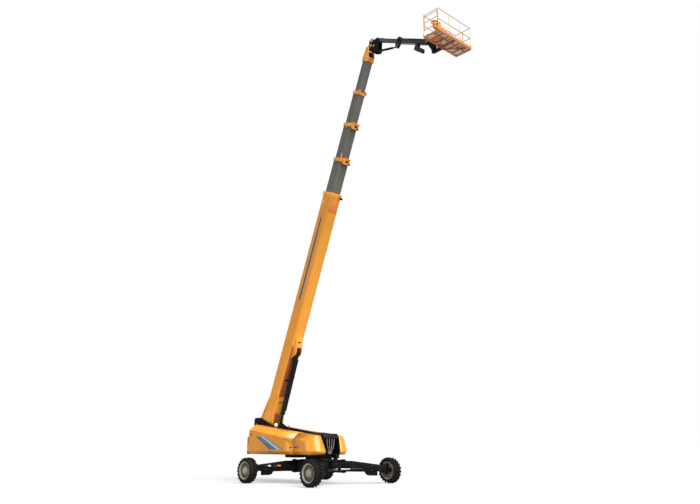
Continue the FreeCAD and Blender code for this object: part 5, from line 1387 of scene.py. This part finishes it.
# ------------------------------------------------------------------ platform
@dataclass
class Platform:
    """The work platform: floor, rails, gate and console."""

    middle: tuple = (8.89, 0.0)
    floor: float = 19.97
    depth: float = 0.91
    width: float = 2.44
    height: float = 1.12
    bays: int = 6
    spine: float = 0.1001
    low_frame: float = 0.064

    def build(self) -> None:
        """Build the platform's skins and dressing."""
        carry("platform_mount", BLACK, 0.005)
        carry("platform_floor", FLOOR_BROWN, 0.004)
        # painted shade: rails and gate in a duller orange
        carry("platform_rails", SHADED_RAIL, 0.0)
        carry("platform_gate", SHADED_RAIL, 0.0)
        carry("platform_console", YELLOW, 0.02)
        dress("console_cable", HOSE)
        self.mesh_floor()
        self.under_frame()
        self.post_painted_light()
        self.console()
        self.corners()

    def mesh_floor(self) -> None:
        """Expanded metal in every bay, seen from above and below."""
        x, half_x = self.middle[0], self.depth / 2
        pitch = self.width / self.bays
        split = x + self.spine
        rows = ((x - half_x + 0.06, split - 0.03), (split + 0.03, x + half_x - 0.06))
        form, solid, bars = Form(), Form(), Form()
        for i in range(self.bays):
            y = -self.width / 2 + pitch * (i + 0.5)
            for low, high in rows:
                panel = solid if (i, low) == (1, rows[0][0]) else form
                panel.block((high - low, pitch - 0.07, 0.003), ((low + high) / 2, y, self.floor - 0.0125),
                            edge=0.001)
            if i % 2 == 0:
                low, high = rows[1]
                bars.block((high - low + 0.01, 0.025, 0.03), ((low + high) / 2, y, self.floor - 0.03),
                           edge=0.004)
        form.block((self.depth - 0.13, self.width - 0.13, 0.004), (x, 0, self.floor + 0.003), edge=0.001)
        form.finish("floor_mesh", MESH_FLOOR, "platform")
        solid.finish("floor_plate", ORANGE, "platform")
        bars.finish("floor_dividers", FLOOR_BROWN, "platform")

    def under_frame(self) -> None:
        """Braces and brackets below the floor."""
        x, low = self.middle[0], self.floor - self.low_frame
        back = x - self.depth / 2
        form = Form()
        form.block((self.depth - 0.04, 0.07, 0.07), (x, 0.0, low - 0.03), edge=0.006)
        form.bar([(back + 0.04, 0.1, low - 0.04), (x + 0.36, 0.92, low - 0.016)], 0.028, sides=12)
        form.bar([(back + 0.04, -0.1, low - 0.04), (x + 0.2, -0.62, low - 0.016)], 0.022, sides=12)
        form.block((0.12, 0.5, 0.05), (back + 0.07, 0.0, low - 0.02), edge=0.006)
        form.finish("under_braces", RED_BROWN, "platform")

    def post_painted_light(self) -> None:
        """Cream sleeves over the upright posts: painted light on the rails' own enamel."""
        x, inset = self.middle[0], 0.025
        span = self.width - 2 * inset
        form = Form()
        for side in BOTH:
            for i in range(4):
                at = (x + side * (self.depth / 2 - inset), -self.width / 2 + inset + span * i / 3)
                for low, high in ((0.1, 0.54), (0.58, self.height - 0.036)):
                    form.rod((*at, self.floor + low), (*at, self.floor + high), 0.0172, sides=16)
        form.finish("post_painted_light", LIT_POST, "platform")

    def console(self) -> None:
        """Controls, cover and cable guard on the console."""
        back = self.middle[0] - self.depth / 2
        z = self.floor
        dark = Form()
        turn = Matrix.Rotation(math.atan2(0.1, 0.255), 4, "Y")
        dark.block((0.17, 0.3, 0.012), (back + 0.205, -0.42, z + 1.036), edge=0.005, turn=turn)
        for i, y in enumerate((-0.54, -0.46, -0.38)):
            dark.rod((back + 0.2, y, z + 1.04), (back + 0.2, y, z + 1.075), 0.014)
            dark.rod((back + 0.2, y, z + 1.075), (back + 0.2, y, z + 1.1), 0.018, edge=0.006)
        dark.block((0.02, 0.12, 0.1), (back + 0.306, -0.5, z + 0.86), edge=0.008,
                   turn=Matrix.Rotation(0.27, 4, "Y"))
        dark.block((0.05, 0.14, 0.06), (back + 0.16, -0.3, z + 0.68), edge=0.01)
        dark.finish("console_panel", BLACK_PLASTIC, "platform")
        red = Form().rod((back + 0.24, -0.26, z + 1.03), (back + 0.24, -0.26, z + 1.065), 0.03, edge=0.006)
        red.block((0.14, 0.44, 0.02), (back + 0.15, -0.42, z + 1.062), edge=0.006, turn=turn)
        red.finish("stop_button", RED_LENS, "platform")
        boxes = Form()
        boxes.block((0.14, 0.34, 0.24), (back + 0.11, 0.24, z + 0.86), edge=0.02)
        boxes.finish("tool_boxes", YELLOW, "platform", "console_yellow")

    def corners(self) -> None:
        """Knee plates and striped corners along the floor's edge."""
        x, z = self.middle[0], self.floor
        half_x, half_y = self.depth / 2, self.width / 2
        form, dark = Form(), Form()
        for side in BOTH:
            for y in (-1.0, -1.0 / 3, 1.0 / 3, 1.0):
                form.slab([(y * 1.19 - 0.05, z + 0.09), (y * 1.19 + 0.05, z + 0.09), (y * 1.19, z + 0.24)],
                          x + side * (half_x - 0.012), x + side * (half_x - 0.004), 0.001, Plane.YZ)
            for i in range(4):
                low, high = x + side * (half_x - 0.0014), x + side * (half_x - 0.0002)
                y = -half_y + 0.03 + 0.09 * i
                dark.slab([(y, z - 0.005), (y + 0.035, z - 0.005), (y + 0.06, z + 0.085),
                           (y + 0.025, z + 0.085)],
                          low, high, 0, Plane.YZ)
        form.finish("knee_plates", YELLOW, "platform", "yellow_paint")
        dark.finish("corner_stripes", SEAM_BLACK, "platform")


# ------------------------------------------------------------------ studio
@dataclass
class Studio:
    """Pale floor, soft light and the camera."""

    yaw: float = 46.34
    pitch: float = 15.37
    roll: float = -0.08
    stand: tuple = (26.59, -23.25, 1.867)
    focal: float = 695.3 / 700.0
    sensor: float = 36.0
    floor_reach: float = 400.0
    floor_glow: float = 0.43
    sky_lit: float = 0.38  # what the surround gives as light, against 1 where it is seen
    suns: tuple = (("key", 1.6, 12.0, (-0.5, 0.06, -0.86)), ("side", 0.62, 40.0, (0.25, 0.92, -0.3)),
                   ("front", 2.5, 45.0, (-0.84, 0.0,
                                         -0.54)))  # name, strength, spread in degrees, way it shines

    def floor(self) -> None:
        """A plain pale floor that runs out of sight."""
        form = bmesh.new()
        bmesh.ops.create_circle(form, cap_ends=True, segments=64, radius=self.floor_reach)
        mesh = bpy.data.meshes.new("studio_floor")
        form.to_mesh(mesh)
        form.free()
        graph = Graph("studio_floor", {"Roughness": 0.9, "Emission Color": linear("FFFFFF")})
        seen = add_node(graph.tree, "ShaderNodeLightPath").outputs["Is Camera Ray"]
        mesh.materials.append(graph.wear(emission_strength=graph.reckon("MULTIPLY", seen, self.floor_glow),
                                         base_color=graph.blend(seen, "ACACAC", "B4B4B4")))
        piece = bpy.data.objects.new("studio_floor", mesh)
        bpy.context.scene.collection.objects.link(piece)

    def light(self) -> None:
        """A white surround, a key from above, and soft light from the side and from ahead."""
        world = bpy.data.worlds.new("studio_sky")
        bpy.context.scene.world = world
        world.use_nodes = True
        tree = world.node_tree
        surround = tree.nodes["Background"]
        surround.inputs["Color"].default_value = linear("FFFFFF")
        path = add_node(tree, "ShaderNodeLightPath")
        seen = add_node(tree, "ShaderNodeMath", {0: path.outputs["Is Camera Ray"],
                                                 1: path.outputs["Is Transmission Ray"]},
                        operation="MAXIMUM")
        level = add_node(tree, "ShaderNodeMapRange", {"Value": seen.outputs["Value"],
                                                      "To Min": self.sky_lit, "To Max": 1.0})
        tree.links.new(level.outputs["Result"], surround.inputs["Strength"])
        for name, power, spread, direction in self.suns:
            lamp = bpy.data.lights.new(name, "SUN")
            lamp.energy, lamp.angle = power, math.radians(spread)
            holder = bpy.data.objects.new(name, lamp)
            holder.rotation_euler = Vector(direction).to_track_quat("-Z", "Y").to_euler()
            bpy.context.scene.collection.objects.link(holder)

    def camera(self) -> None:
        """The camera, low and ahead of the machine on its right."""
        data = bpy.data.cameras.new("camera")
        data.sensor_width, data.lens = self.sensor, self.focal * self.sensor
        data.clip_end = 500.0
        holder = bpy.data.objects.new("camera", data)
        a, b = math.radians(self.yaw), math.radians(self.pitch)
        ahead = Vector((-math.sin(a) * math.cos(b), math.cos(a) * math.cos(b), math.sin(b)))
        right = Vector((math.cos(a), math.sin(a), 0.0))
        above = right.cross(ahead)
        turn = Matrix((right, above, -ahead)).transposed().to_4x4()
        place = MACHINE @ Matrix.Translation(self.stand) @ turn @ Matrix.Rotation(math.radians(self.roll),
            4, "Z")
        holder.matrix_world = place
        bpy.context.scene.collection.objects.link(holder)
        bpy.context.scene.camera = holder

    def build(self) -> None:
        """Build the whole studio."""
        bpy.context.scene.view_settings.view_transform = "Standard"
        self.floor()
        self.light()
        self.camera()


def main() -> None:
    """Build the studio and every sub-assembly in order."""
    logging.basicConfig(level=logging.INFO, format="%(name)s: %(message)s")
    parts = [Studio(), Chassis(), *[Leg(c) for c in CORNERS], *[Wheel(c) for c in CORNERS], Turntable(),
             Hoods(), Boom(),
             LiftCylinder(), Jib(), Platform()]
    for part in parts:
        part.build()
        LOG.info("%s built", type(part).__name__)


if __name__ == "__main__":
    main()
